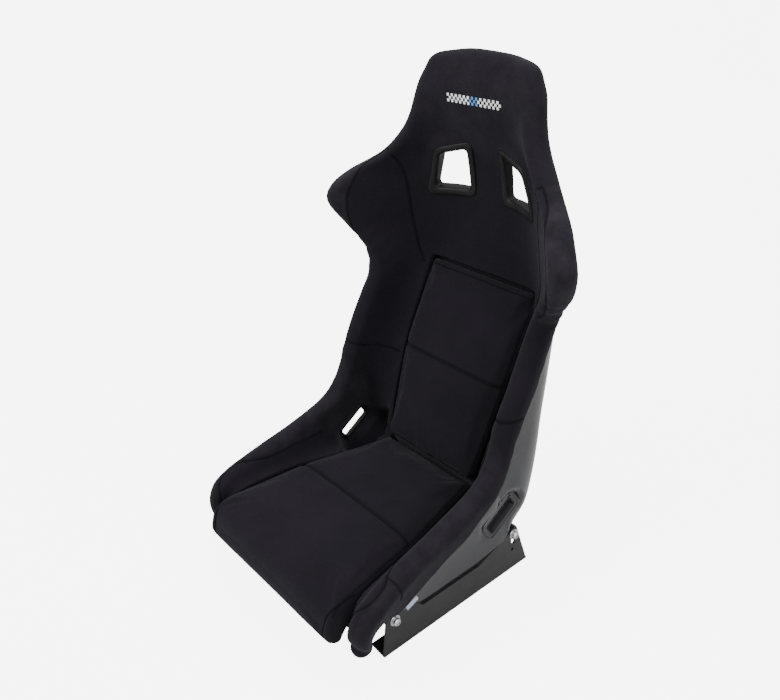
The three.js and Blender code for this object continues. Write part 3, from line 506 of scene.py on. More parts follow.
def prism(name, outline, fr, low, high, mirror=False):
    """A straight solid with an outline of a flat frame, between two heights in that frame."""
    rings = []
    for z in (low, high):
        p = place_in(fr, np.column_stack([outline, np.full(len(outline), z)]))
        rings.append(p * (-1, 1, 1) if mirror else p)
    points, faces = loft_mesh(rings)
    return fix_normals(new_object(name, to_row(points), faces))


def on_lap_plane(margin, x, count):
    """A lap slot's outline grown by a margin, at a distance from the middle of the seat."""
    xy = even(lap_outline(margin), count)
    return place_in(LAP, np.column_stack([xy, np.full(count, x - float(LAP_ORIGIN_X))]))


def lap_dish(mirror):
    """The dish in the padding round a lap slot, as (margin, depth) steps from its bottom."""
    rings = []
    for margin, depth in ((8, 2), (13, 7), (18, 13), (24, 24), (30, 42), (35, 72)):
        p = on_lap_plane(margin, LAP_PLANE - depth, 90)
        rings.append(p * (-1, 1, 1) if mirror else p)
    points, faces = loft_mesh(rings)
    return fix_normals(new_object("dish", to_row(points), faces))


def closed_ring(name, rows):
    """A ring-shaped solid from the loops round its cross-section."""
    faces = ring_faces(len(rows), len(rows[0]), closed_rows=True)
    return shade(fix_normals(new_object(name, to_row(np.concatenate(rows)), faces)), 40)


def flat_ring(name, profile, count=110):
    """A ring on the flat bottom of the dish. profile: (margin, x) pairs round its cross-section."""
    return closed_ring(name, [on_lap_plane(margin, x, count) for margin, x in profile])


def cast(tree, fr, xy, start, sense):
    """Local heights at which lines along the frame's Z meet a surface, smoothed round the loop."""
    heights = []
    direction = turn_to_row(fr[0][2] * sense)
    for x, y in xy:
        origin = Vector(to_row(place_in(fr, (x, y, start)))[0])
        hit = tree.ray_cast(origin, direction, RAY_LENGTH)
        heights.append(start + sense * hit[3] * 1000 if hit[0] is not None else np.nan)
    heights = np.array(heights)
    heights[np.isnan(heights)] = np.nanmean(heights)
    for _ in range(6):
        heights = (np.roll(heights, 1) + 2 * heights + np.roll(heights, -1)) / 4
    return heights


def rim_ring(name, outline_of, fr, tree, start, sense, profile, count=120, deep=None):
    """A moulded ring that follows a surface. profile: (margin, height above the surface) pairs, in
    order round its cross-section. A pair with a third value goes to the far surface."""
    rows = []
    for step in profile:
        xy = even(outline_of(step[0]), count)
        if len(step) == 3:
            z = deep + sense * step[1]
        else:
            near = even(outline_of(max(0.5, step[0])), count)
            z = cast(tree, fr, near, start, sense) - sense * step[1]
        rows.append(place_in(fr, np.column_stack([xy, z])))
    return closed_ring(name, rows)


# ------------------------------------------------------------------ materials
def nodes_of(name):
    mat = bpy.data.materials.new(name)
    mat.use_nodes = True
    tree = mat.node_tree
    return mat, tree, tree.nodes["Principled BSDF"]


def add(tree, kind, **settings):
    """A node with its properties or its inputs set."""
    node = tree.nodes.new(kind)
    for key, value in settings.items():
        if key in node.bl_rna.properties:
            setattr(node, key, value)
        else:
            node.inputs[key].default_value = value
    return node


def ramp(tree, source, *stops):
    """A colour from a value, by two stops of (value, colour)."""
    node = tree.nodes.new("ShaderNodeValToRGB")
    for element, (position, colour) in zip(node.color_ramp.elements, stops):
        element.position = position
        element.color = (*colour, 1)
    tree.links.new(source, node.inputs["Fac"])
    return node.outputs["Color"]


def spread(tree, source, low, high):
    """A value from 0 to 1 spread between two limits."""
    node = tree.nodes.new("ShaderNodeMapRange")
    node.inputs["To Min"].default_value = low
    node.inputs["To Max"].default_value = high
    tree.links.new(source, node.inputs["Value"])
    return node.outputs["Result"]


def mixed(tree, factor, first, second):
    """Two colours mixed. The second is a socket or a plain colour."""
    node = add(tree, "ShaderNodeMix", data_type="RGBA")
    tree.links.new(factor, node.inputs["Factor"])
    tree.links.new(first, node.inputs["A"])
    if isinstance(second, tuple):
        node.inputs["B"].default_value = (*second, 1)
    else:
        tree.links.new(second, node.inputs["B"])
    return node.outputs["Result"]


def mask(tree, name):
    return add(tree, "ShaderNodeAttribute", attribute_name=name).outputs["Fac"]


def bump(tree, height, strength, distance, normal=None):
    node = add(tree, "ShaderNodeBump", Strength=strength, Distance=distance)
    tree.links.new(height, node.inputs["Height"])
    if normal is not None:
        tree.links.new(normal, node.inputs["Normal"])
    return node.outputs["Normal"]


def coords(tree):
    return tree.nodes.new("ShaderNodeTexCoord").outputs["Object"]


def noise(tree, vector, scale, detail=3.0, rough=0.5):
    node = add(tree, "ShaderNodeTexNoise", Scale=scale, Detail=detail, Roughness=rough)
    tree.links.new(vector, node.inputs["Vector"])
    return node.outputs["Fac"]


def maths(tree, operation, a, b=0.0):
    node = add(tree, "ShaderNodeMath", operation=operation)
    for i, v in enumerate((a, b)):
        if hasattr(v, "is_linked"):
            tree.links.new(v, node.inputs[i])
        else:
            node.inputs[i].default_value = v
    return node.outputs[0]


def wave(tree, vector, scale, direction, distortion=0.0):
    node = add(tree, "ShaderNodeTexWave", Scale=scale, Distortion=distortion)
    node.bands_direction = direction
    tree.links.new(vector, node.inputs["Vector"])
    return node.outputs["Fac"]


def knit(name, dark, light, nap_and_painted_light=None):
    """Stretch knit: a fine stitch grid, a soft sheen, faint fading, painted shade along the seams, and where
    asked a lighter pile colour, which is brushed nap on the wings and thighs and painted light on the head.
    """
    mat, tree, bsdf = nodes_of(name)
    v = coords(tree)
    stitch = maths(tree, "MULTIPLY", wave(tree, v, 320, "X", 1.2), wave(tree, v, 320, "Z", 1.2))
    stitch = maths(tree, "ADD", stitch, wave(tree, v, 320, "Y", 1.2))
    cloud = noise(tree, v, 9, 5, 0.6)
    fuzz = noise(tree, v, 600, 2, 0.7)
    mottled = maths(tree, "ADD", maths(tree, "MULTIPLY", cloud, 0.7), maths(tree, "MULTIPLY", fuzz, 0.3))
    colour = ramp(tree, mottled, (0.32, dark), (0.68, light))
    if nap_and_painted_light:
        # The pile colour: brushed nap on the wings and thighs, painted light on the head.
        pile_and_painted_light = ramp(tree, noise(tree, v, 26, 6, 0.65), (0.36, light), (0.66, nap_and_painted_light))
        colour = mixed(tree, mask(tree, "nap_and_painted_light"), colour, pile_and_painted_light)
    seam = mask(tree, "seam")
    colour = mixed(tree, maths(tree, "MULTIPLY", seam, 0.85), colour, SEAM_SHADOW)
    tree.links.new(colour, bsdf.inputs["Base Color"])
    sheen = maths(tree, "SUBTRACT", SHEEN, maths(tree, "MULTIPLY", seam, SHEEN))
    tree.links.new(sheen, bsdf.inputs["Sheen Weight"])
    settings = {"Roughness": 0.95, "Specular IOR Level": 0.08, "Sheen Roughness": 0.45}
    for key, value in settings.items():
        bsdf.inputs[key].default_value = value
    bsdf.inputs["Sheen Tint"].default_value = (0.75, 0.72, 0.85, 1)
    soft = bump(tree, noise(tree, v, 55, 3, 0.55), 0.12, 0.002)
    tree.links.new(bump(tree, stitch, 0.35, 0.0004, soft), bsdf.inputs["Normal"])
    return mat


def gelcoat():
    """Black gelcoat over woven cloth: deep gloss, a faint print of the weave, a slow ripple."""
    mat, tree, bsdf = nodes_of("gelcoat")
    v = coords(tree)
    weave = maths(tree, "MULTIPLY", wave(tree, v, 110, "Y"), wave(tree, v, 110, "Z"))
    print_through = maths(tree, "ADD", maths(tree, "MULTIPLY", weave, 0.25), noise(tree, v, 14, 4))
    colour = ramp(tree, print_through, (0.35, (0.008, 0.008, 0.010)), (0.85, (0.018, 0.018, 0.021)))
    tree.links.new(colour, bsdf.inputs["Base Color"])
    tree.links.new(spread(tree, noise(tree, v, 40, 5, 0.6), 0.10, 0.24), bsdf.inputs["Roughness"])
    for key, value in {"Coat Weight": 0.25, "Specular IOR Level": 0.38, "Coat Roughness": 0.06}.items():
        bsdf.inputs[key].default_value = value
    ripple = bump(tree, noise(tree, v, 11, 2), 0.18, 0.004)
    tree.links.new(bump(tree, weave, 0.05, 0.0003, ripple), bsdf.inputs["Normal"])
    return mat


def moulded(name, colour, roughness, grain, sheen=0.0, metallic=0.0, fine=900, specular=0.5):
    """A plain surface: uneven colour and roughness, and a fine grain."""
    mat, tree, bsdf = nodes_of(name)
    v = coords(tree)
    light = tuple(min(1, c * 1.35 + 0.004) for c in colour)
    tree.links.new(ramp(tree, noise(tree, v, 30, 5), (0.3, colour), (0.75, light)), bsdf.inputs["Base Color"])
    rough = spread(tree, noise(tree, v, 90, 4), max(0.02, roughness - 0.08), min(1, roughness + 0.08))
    tree.links.new(rough, bsdf.inputs["Roughness"])
    for key, value in {"Metallic": metallic, "Specular IOR Level": specular, "Sheen Weight": sheen}.items():
        bsdf.inputs[key].default_value = value
    tree.links.new(bump(tree, noise(tree, v, fine, 2), grain, 0.0003), bsdf.inputs["Normal"])
    return mat


SHEEN = 0.07
SEAM_SHADOW = (0.0008, 0.0008, 0.001)
COVER = knit("cover_knit", (0.0052, 0.0044, 0.0066), (0.0092, 0.0079, 0.0114), (0.0175, 0.0158, 0.0195))
CUSHION = knit("cushion_knit", (0.0058, 0.0049, 0.0072), (0.0096, 0.0083, 0.0118))
GELCOAT = gelcoat()
BEZEL = moulded("bezel_plastic", (0.005, 0.005, 0.0055), 0.48, 0.25, specular=0.16)
POWDER = moulded("powder_coat", (0.010, 0.010, 0.011), 0.38, 0.35, fine=1400)
ZINC = moulded("zinc_plate", (0.62, 0.63, 0.65), 0.28, 0.08, metallic=1.0)
THREAD = moulded("thread", (0.0030, 0.0028, 0.0036), 0.95, 0.2, specular=0.08)
HOOK = moulded("hook_tape", (0.010, 0.010, 0.010), 0.95, 0.9, fine=1100)
TAG = moulded("woven_tag", (0.30, 0.34, 0.42), 0.8, 0.5, fine=1500)
WHITE_THREAD = moulded("white_thread", (0.70, 0.71, 0.72), 0.6, 0.6, sheen=0.3, fine=1600)
BLUE_THREAD = moulded("blue_thread", (0.05, 0.20, 0.48), 0.6, 0.6, sheen=0.3, fine=1600)


def dress(obj, material, body, slot, *replaced):
    """Gives a piece its material and its body, and hides the CAD nodes that it stands for."""
    obj.data.materials.clear()
    obj.data.materials.append(material)
    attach(obj, body)
    if replaced:
        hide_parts(*replaced)
    return obj


# ------------------------------------------------------------------ the moulding
def shell_ring(sec):
    """The moulding's closed cross-section, with a rounded edge."""
    outline = shell_outline(sec)
    s = np.concatenate([np.linspace(0, 0.3, 6)[:-1], np.linspace(0.3, 0.8, 30), np.linspace(0.8, 1, 10)[1:]])
    inner = offset(outline, s, 0)
    outer = offset(outline, s, -SHELL_THICKNESS)
    tip = outline(1)[0] - outline(0.95)[0]
    tip = tip / np.linalg.norm(tip)
    middle = (inner[-1] + outer[-1]) / 2
    edge = [inner[-1] + tip * 0.7, middle + tip * 1.6, outer[-1] + tip * 0.7]
    half = np.vstack([inner, edge, outer[::-1]])
    return both_sides(half)


def both_sides(half):
    """A closed outline from its right half, whose ends lie in the middle."""
    return np.vstack([half, (half * (-1, 1))[::-1][1:-1]])


def places(step):
    return np.linspace(0, LAST, LAST * step + 1)


def turned(name, profile, bolt, side, closed=False, sides=64):
    """A turned piece on a bolt's axis. profile: (x, radius) pairs."""
    angle = np.linspace(0, 2 * math.pi, sides, endpoint=False)
    rings = []
    for x, r in profile:
        y, z = bolt[0] + r * np.cos(angle), bolt[1] + r * np.sin(angle)
        rings.append(np.stack([np.full(sides, side * x), y, z], 1))
    if closed:
        points, faces = np.concatenate(rings), ring_faces(len(rings), sides, closed_rows=True)
    else:
        points, faces = loft_mesh(rings)
    return fix_normals(new_object(name, (points + (0, SHIFT_Y, 0)) / 1000, faces))


def make_shell():
    """The fibreglass moulding with its bolt bosses and openings, and its surface before they are cut."""
    rings = [in_section(s, shell_ring(s)) for s in map(section, places(8))]
    points, faces = loft_mesh(rings)
    shell = fix_normals(new_object("shell_moulding", to_row(points), faces))
    thin_around_openings(shell)
    tree = surface(shell)
    for mirror in (False, True):
        side = -1 if mirror else 1
        for radius, low, high, operation in (BOSS, BORE):
            for bolt in (FRONT_BOLT, REAR_BOLT):
                tool = turned("tool", [(low, radius), (high, radius)], bolt, side, sides=48)
                boolean(shell, tool, operation)
        boolean(shell, prism("cut", lap_outline(3), LAP, -90, 90, mirror))
        boolean(shell, prism("cut", harness_outline(7), HARNESS, -90, 140, mirror))
    shade(shell, 32)
    return shell, tree


# ------------------------------------------------------------------ the padded cover
def padded_roll(sec, count):
    """The arc round the padded roll, from the padded face to the outside."""
    shell_line = shell_outline(sec)
    first = roll_contact(sec)[0]
    first = first + 2 * math.pi if first < 0 else first
    wall = (shell_line(1) - shell_line(0.9))[0]
    angle = np.linspace(first, math.atan2(-wall[0], wall[1]), count)
    return np.array(sec.roll) + sec.radius * np.stack([np.cos(angle), np.sin(angle)], 1)


def cover_ring(sec):
    """The closed cross-section of the padding: face, roll, outside flap, and back in the moulding."""
    shell_line = shell_outline(sec)
    s = np.concatenate([np.linspace(0, 0.3, 8)[:-1], np.linspace(0.3, 0.8, 22), np.linspace(0.8, 1, 8)[1:]])
    end = reach(shell_line, 1, sec.rim[1] - sec.flap)
    top = reach(shell_line, 1, sec.roll[1])
    outside = offset(shell_line, np.linspace(top, end, 8), -SHELL_THICKNESS - FLAP_THICKNESS)[1:]
    under = offset(shell_line, end, -SHELL_THICKNESS - FLAP_THICKNESS * 0.5)
    back = offset(shell_line, np.linspace(end, 0, 24), -SHELL_THICKNESS / 2)
    return both_sides(np.vstack([trim_outline(sec)(s), padded_roll(sec, 22)[1:], outside, under, back]))


def crown_ring(sec):
    """A cross-section of the head where the padding wraps over the moulding's back."""
    s = np.concatenate([np.linspace(0, 0.3, 5)[:-1], np.linspace(0.3, 1, 16)])
    back = offset(shell_outline(sec), np.linspace(0.95, 0, 12), -SHELL_THICKNESS - FLAP_THICKNESS)
    return both_sides(np.vstack([trim_outline(sec)(s), padded_roll(sec, 18)[1:], back]))


def crown_rings():
    """The top of the head, which wraps over the moulding's edge and rounds off."""
    secs = [section(p) for p in (LAST - 0.8, LAST - 0.5, LAST - 0.25, LAST)]
    rings = [in_section(s, crown_ring(s)) for s in secs]
    top = secs[-1]
    rise = np.array([0, top.up[1], -top.up[0]])
    rise = rise if rise[2] > 0 else -rise
    centre = in_section(top, np.array([[0, 10.0]]))[0]
    last = rings[-1]
    widest = last[:, 0].max()
    for angle in np.linspace(0.15, 1.5, 9):
        turn = 1 - math.cos(angle)
        moved = last - centre
        bulge = CROWN_BULGE * (1 - (moved[:, 0] / widest) ** 2)
        moved = moved * (1 - 0.3 * turn, 1 - 0.75 * turn, 1 - 0.75 * turn)
        rings.append(moved + centre + rise * ((CROWN_HEIGHT + bulge) * math.sin(angle))[:, None])
    return rings


def blob(centre, radii, n=24):
    """A closed ellipsoid, for the rounded front ends of the bolsters."""
    a = np.linspace(0, 2 * math.pi, n * 2, endpoint=False)
    rings = []
    for t in np.linspace(0.08, math.pi - 0.08, n):
        x, y, z = math.sin(t) * np.cos(a), math.sin(t) * np.sin(a), np.full_like(a, math.cos(t))
        rings.append(np.stack([x, y, z], 1) * radii + centre)
    return rings


def cushion_room(rows):
    """The room that a cushion takes from the padding, open towards the sitter."""
    rings = []
    table = [catmull(rows, p) for p in np.linspace(0, len(rows) - 1, len(rows) * 3)]
    table = [2 * table[0] - table[1]] + table + [2 * table[-1] - table[-2]]
    for ry, rz, fy, fz, half in table:
        d = np.array([ry - fy, rz - fz])
        d = d / np.linalg.norm(d)
        rest, face = np.array([ry, rz]) + d * 3, np.array([fy, fz]) - d * 60
        h = half + CUSHION_CLEARANCE
        rings.append(np.array([[h, *rest], [h, *face], [-h, *face], [-h, *rest]]))
    points, faces = loft_mesh(rings)
    return fix_normals(new_object("room", to_row(points), faces))


def blend_lap_dishes(cover):
    """Smooths the padding into the dishes round the lap slots."""
    co = from_row(coordinates(cover))
    co[:, 0] = np.abs(co[:, 0])
    local = (co - LAP[1]) @ LAP[0].T
    far = outside_of(even(lap_outline(0), 40), local[:, :2])
    blend = smoothstep((far - 9) / 8) * smoothstep((60 - far) / 25) * (co[:, 0] > 140) * (co[:, 0] < 209)
    relax(cover, 40, blend, FLATTEN)


def build_cover():
    """The padding and its cloth as one skin, and its surface before the openings are cut."""
    rings = [in_section(s, cover_ring(s)) for s in map(section, places(7))]
    _, _, rx, ry, rz, r = STATIONS[0][:6]
    ends = [blob((side * rx, ry, rz), (r + 0.5, r + 1.5, 19)) for side in (1, -1)]
    points, faces, base = [], [], 0
    for solid in (rings, crown_rings(), *ends):
        p, f = loft_mesh(solid, base)
        points.append(p)
        faces += f
        base += len(p)
    cover = fix_normals(new_object("padded_cover", to_row(np.concatenate(points)), faces))
    remesh(cover, VOXEL)
    relax(cover, 4)
    head = smoothstep((from_row(coordinates(cover))[:, 2] - 815) / 40)
    relax(cover, 18, head, FLATTEN)
    thin_around_openings(cover)
    tree = surface(cover)
    boolean(cover, cushion_room(SEAT_ROWS))
    boolean(cover, cushion_room(BACK_ROWS))
    for mirror in (False, True):
        boolean(cover, lap_dish(mirror))
        boolean(cover, prism("cut", lap_outline(3.4), LAP, -90, 60, mirror))
        boolean(cover, prism("cut", harness_outline(7.4), HARNESS, -90, 140, mirror))
    remesh(cover, VOXEL)
    relax(cover, 3)
    blend_lap_dishes(cover)
    return cover, tree


# Seams of the cover, as points near its surface in the moulding frame.
WING_SEAM = [(186, 203, 744), (174, 205, 730), (168, 216, 710), (163, 223, 684), (162, 228, 652),
             (162, 234, 618), (160, 240, 583), (156, 246, 548), (148, 251, 518)]
WING_FRONT_SEAM = [(188, 202, 746), (204, 192, 734), (219, 180, 721), (231, 162, 705), (239, 153, 685),
                   (247, 146, 665), (252, 144, 645), (253, 144, 627), (252, 147, 608), (248, 156, 584),
                   (236, 170, 562), (222, 182, 545)]
WAIST_SEAM = [(150, 205, 330), (176, 168, 344), (196, 126, 357), (212, 104, 366), (228, 112, 372),
              (236, 128, 374)]
THIGH_SEAM = [(205, -234, 112), (216, -226, 142), (230, -208, 172), (228, -178, 187), (212, -153, 193),
              (200, -125, 192), (196, -92, 194), (194, -57, 198), (191, -27, 199), (192, 3, 201)]
SHORT_SEAM = [(214, -164, 191), (228, -164, 193), (242, -160, 183), (248, -155, 168), (244, -152, 150)]


def snap(tree, line, lift=0.0, rounds=4):
    """A row-frame line laid on a surface and smoothed."""
    out = []
    for p in line:
        hit, normal, _, _ = tree.find_nearest(Vector(p))
        out.append(np.array(hit + normal * lift))
    out = np.array(out)
    for _ in range(rounds):
        out[1:-1] = (out[:-2] + 2 * out[1:-1] + out[2:]) / 4
    return out


def stitched(name, *groups):
    """One object of threads. groups: (lines, thread radius) pairs."""
    threads = [tube("thread", line, radius) for lines, radius in groups for line in lines]
    return shade(merged(name, threads), 60)


def groove(obj, lines, depth, width):
    """Presses seams into a surface, and gives each point's distance from them."""
    points = np.concatenate(lines)
    kd = KDTree(len(points))
    for i, p in enumerate(points):
        kd.insert(Vector(p), i)
    kd.balance()
    co, n = coordinates(obj), normals(obj)
    near = np.array([kd.find(Vector(p))[2] for p in co])
    fall = np.exp(-(near / width) ** 2)
    set_coordinates(obj, co - n * (depth * fall)[:, None])
    return near


def mark(obj, name, values):
    layer = obj.data.attributes.get(name) or obj.data.attributes.new(name, "FLOAT", "POINT")
    layer.data.foreach_set("value", np.clip(values, 0, 1).astype(np.float32))


def soft_ripple(co, scale, seed):
    """A smooth pseudo-random height field over points, between about -1 and 1."""
    local = np.random.default_rng(seed)
    total = np.zeros(len(co))
    for _ in range(7):
        k = local.normal(size=3) * scale
        total += np.sin(co @ k + local.uniform(0, 6.28))
    return total / 3.5


def pull_cloth(cover):
    """The pull of the cloth towards the wing's lower end and into the waist, and a faint quilting."""
    co, n = coordinates(cover), normals(cover)
    mm = from_row(co)
    wing = np.exp(-(((np.abs(mm[:, 0]) - 235) / 34) ** 2 + ((mm[:, 2] - 545) / 34) ** 2))
    slope = mm[:, 2] - 0.55 * mm[:, 1] + 0.35 * np.abs(mm[:, 0])
    folds = np.sin(slope / 4.6 + 1.3 * soft_ripple(co, 20, 3))
    waist = np.exp(-(((np.abs(mm[:, 0]) - 212) / 40) ** 2 + ((mm[:, 2] - 345) / 26) ** 2))
    height = 0.0011 * wing * folds + 0.0007 * waist * np.sin(mm[:, 2] / 6 + soft_ripple(co, 18, 5))
    height += 0.00055 * soft_ripple(co, 38, 11)
    set_coordinates(cover, co + n * height[:, None])


def mark_nap_and_painted_light(cover):
    """Brushed nap outside the wing seams and over the thigh bolsters; on the head painted light, the pile
    colour rising towards the top where the light falls; and a slight even lift towards the pile colour over
    the whole cover.
    """
    x = np.abs(coordinates(cover)[:, 0] * 1000)
    _, y, z = from_row(coordinates(cover)).T
    seam = np.array(WING_FRONT_SEAM[::-1])
    edge = np.interp(z, seam[:, 2], seam[:, 0])
    wings = smoothstep((x - edge) / 4 + 0.5) * smoothstep((z - 520) / 30) * smoothstep((750 - z) / 6 + 0.5)
    seam = np.array(THIGH_SEAM[2:])
    edge = np.interp(y, seam[:, 1], seam[:, 0])
    thighs = smoothstep((x - edge) / 5 + 0.5) * smoothstep((350 - z) / 60)
    # Painted light: the head's cloth is lighter towards its top, where the light falls.
    head = smoothstep((z - 690) / 130)
    mark(cover, "nap_and_painted_light", np.maximum.reduce([wings, 0.7 * thighs, 0.12 + 0.38 * head]))


def finish_cover(cover, tree):
    """Folds of the cover, its sewn seams with painted shade along them, its nap with painted light on the
    head, and the threads of its seams.
    """
    seams = (WING_SEAM, WING_FRONT_SEAM, WAIST_SEAM, THIGH_SEAM, SHORT_SEAM)
    right = [snap(tree, to_row(smooth_line(points, 90)), rounds=3) for points in seams]
    lines = right + [line * (-1, 1, 1) for line in right]
    pull_cloth(cover)
    near = groove(cover, lines, 0.0012, 0.0028)
    mark(cover, "seam", np.exp(-(near / 0.0024) ** 2) * 0.55)
    mark_nap_and_painted_light(cover)
    return shade(cover), stitched("cover_seam_thread", (lines, THREAD_RADIUS))


# ------------------------------------------------------------------ cushions
def cushion_solid(name, rows, crown, edge):
    """A crowned closed pad through its rows, with rounded edges and corners."""
    rings = []
    count = len(rows) * 5
    for place, share in zip(np.linspace(0, len(rows) - 1, count), np.linspace(0, 1, count)):
        ry, rz, fy, fz, half = catmull(rows, place)
        ends = min(share, 1 - share) * 2
        lift = 1 + crown * min(1, ends * 2.2) ** 0.6
        round_end = 1 - 0.03 * max(0, 1 - ends * 16) ** 2
        half = half * round_end - 1.2
        x = np.array([0, 0.35, 0.65, 0.85, 1]) * (half - edge)
        top = [(v, 1 + (lift - 1) * (1 - (v / half) ** 2)) for v in x]
        a = np.linspace(math.pi / 2, 0, 7)
        depth = math.hypot(ry - fy, rz - fz)
        k = edge / depth
        corner = [(half - edge + edge * math.cos(t), 1 - k + k * math.sin(t)) for t in a]
        side = [(half, 0.5), (half, 0.15), (half - 2, 0.02)]
        bottom = [(v, 0.0) for v in np.array([0.8, 0.5, 0.25, 0]) * half]
        profile = np.array(top[:-1] + corner + side + bottom)
        full = both_sides(profile)
        y = ry + (fy - ry) * full[:, 1]
        z = rz + (fz - rz) * full[:, 1]
        rings.append(np.stack([full[:, 0], y, z], 1))
    points, faces = loft_mesh(rings)
    return fix_normals(new_object(name, to_row(points), faces))


def inflate(obj, held, cap, pressure=4.0):
    """Cloth under gentle pressure, its resting face held, its movement capped."""
    rest = coordinates(obj)
    frames = 20
    group = obj.vertex_groups.new(name="held")
    for i in np.nonzero(held > 0.01)[0]:
        group.add([int(i)], float(held[i]), "REPLACE")
    mod = obj.modifiers.new("cloth", "CLOTH")
    cloth = mod.settings
    cloth.quality = 5
    cloth.mass = 0.3
    cloth.tension_stiffness = cloth.compression_stiffness = 15
    cloth.shear_stiffness = 5
    cloth.bending_stiffness = 0.5
    cloth.use_pressure = True
    cloth.uniform_pressure_force = pressure
    cloth.vertex_group_mass = "held"
    cloth.effector_weights.gravity = 0
    mod.collision_settings.use_collision = False
    scene = bpy.context.scene
    scene.frame_start, scene.frame_end = 1, frames
    for f in range(1, frames + 1):
        scene.frame_set(f)
    graph = bpy.context.evaluated_depsgraph_get()
    evaluated = obj.evaluated_get(graph)
    moved = np.zeros(len(rest) * 3)
    evaluated.data.vertices.foreach_get("co", moved)
    move = moved.reshape(-1, 3) - rest
    size = np.linalg.norm(move, axis=1)
    move *= np.minimum(1, cap / np.maximum(size, 1e-9))[:, None]
    obj.modifiers.clear()
    obj.vertex_groups.clear()
    scene.frame_set(1)
    set_coordinates(obj, rest + move)
    relax(obj, 2)
    return with_modifier(obj, "SUBSURF", levels=1, render_levels=1)


def row_frame(rows):
    """Resting and shown lines of a cushion in the row frame."""
    table = np.array([catmull(rows, p) for p in np.linspace(0, len(rows) - 1, 60)])
    return [to_row(np.column_stack([np.zeros(60), table[:, k:k + 2]])) for k in (0, 2)]


def rise_of(co, rows):
    """How high in its cushion each point is: 0 on the resting face, 1 on the shown face."""
    rest, face = row_frame(rows)
    kd = KDTree(60)
    for i in range(60):
        kd.insert(Vector((0, *((rest[i] + face[i]) / 2)[1:])), i)
    kd.balance()
    index = np.array([kd.find(Vector((0, p[1], p[2])))[1] for p in co])
    d = (face - rest)[index]
    return np.einsum("ij,ij->i", (co - rest[index]) * (0, 1, 1), d) / np.einsum("ij,ij->i", d, d)


def across(start, stop, y, z, count):
    """A straight row-frame line across the seat."""
    x = np.linspace(start, stop, count)
    return to_row(np.column_stack([x, np.full(count, y), np.full(count, z)]))


def make_cushion(name, rows, crown, edge, channels, piping, extra=()):
    """A stitched cushion and its threads. channels: places of its cross seams; piping: first and last
    place of the seam along its edge; extra: other seams, mirrored."""
    pad = cushion_solid(name, rows, crown, edge)
    remesh(pad, CUSHION_VOXEL)
    relax(pad, 2)
    rise = rise_of(coordinates(pad), rows)
    inflate(pad, np.clip(1.6 - rise * 4, 0, 1), 0.0045)
    tree = surface(pad)
    lines = []
    for place in channels:
        _, _, fy, fz, half = catmull(rows, place)
        lines.append(snap(tree, across(-half + 1, half - 1, fy, fz, 160)))
    groove(pad, lines, 0.0028, 0.0044)
    near = groove(pad, lines, 0.0026, 0.0017) * 0.55
    tree = surface(pad)
    channel_lines = [snap(tree, line, -0.0012) for line in lines]
    edge_lines = []
    for points in extra:
        line = snap(tree, to_row(smooth_line(points, 80)))
        edge_lines += [line, line * (-1, 1, 1)]
    inset = edge * 0.35
    row = np.array([catmull(rows, p) for p in np.linspace(*piping, 140)])
    border = []
    for side in (1, -1):
        border.append(snap(tree, to_row(np.column_stack([side * (row[:, 4] - inset), row[:, 2:4]]))))
    _, _, fy, fz, half = catmull(rows, piping[1])
    border.append(snap(tree, across(half - inset, -half + inset, fy, fz, 140)))
    near = np.minimum(near, groove(pad, border + edge_lines, 0.0010, 0.0024) * 1.6)
    mark(pad, "seam", np.exp(-(near / 0.0021) ** 2))
    threads = stitched(f"{name}_thread", (channel_lines, CHANNEL_THREAD_RADIUS), (edge_lines, THREAD_RADIUS))
    return shade(pad), threads


# ------------------------------------------------------------------ hardware
# Turned profiles as (distance from the middle of the seat, radius).
SCREW = [(180, 3.4), (181, 4), (215.5, 4), (215.5, 7.2), (215.7, 7.5), (217.2, 7.5), (218.4, 7.2),
         (219.6, 6.4), (220.4, 5.2), (220.7, 3.9)]
SOCKET = [(217.9, 2.95), (223, 2.95)]
FLAT_WASHER = [(211.3, 4.4), (211.3, 10.2), (211.6, 10.5), (212.6, 10.5), (212.9, 10.2), (212.9, 4.4)]
LOCK_WASHER = [(213.2, 4.5), (213.2, 7.0), (213.4, 7.2), (215.0, 7.2), (215.2, 7.0), (215.2, 4.5)]


def make_hardware(body):
    """A screw, a flat washer and a split lock washer at each of the four bolts."""
    for place, bolt in (("front", FRONT_BOLT), ("rear", REAR_BOLT)):
        for word, side in (("right", 1), ("left", -1)):
            screw = turned(f"{place}_screw_{word}", SCREW, bolt, side)
            boolean(screw, turned("socket", SOCKET, bolt, side, sides=6))
            dress(shade(screw, 35), ZINC, body, "zinc", f"{place}_bolt_{word}")
            washer = turned(f"{place}_flat_washer_{word}", FLAT_WASHER, bolt, side, True)
            dress(shade(washer, 35), ZINC, body, "zinc", f"{place}_washer_{word}")
            lock = turned(f"{place}_lock_washer_{word}", LOCK_WASHER, bolt, side, True)
            boolean(lock, new_box("split", (side * 214.2, bolt[0] + 1.5, bolt[1] + 6), (6, 1.3, 7), 0.35))
            dress(shade(lock, 35), ZINC, body, "zinc", f"{place}_spring_washer_{word}")


def new_box(name, centre, size, tilt):
    """A box in the moulding frame's turn, tilted about X."""
    corners = np.array([(x, y, z) for x in (-0.5, 0.5) for y in (-0.5, 0.5) for z in (-0.5, 0.5)]) * size
    y = corners[:, 1] * math.cos(tilt) - corners[:, 2] * math.sin(tilt)
    z = corners[:, 1] * math.sin(tilt) + corners[:, 2] * math.cos(tilt)
    points = (np.stack([corners[:, 0], y, z], 1) + centre + (0, SHIFT_Y, 0)) / 1000
    faces = [(0, 1, 3, 2), (4, 6, 7, 5), (0, 4, 5, 1), (2, 3, 7, 6), (0, 2, 6, 4), (1, 5, 7, 3)]
    return fix_normals(new_object(name, points, faces))


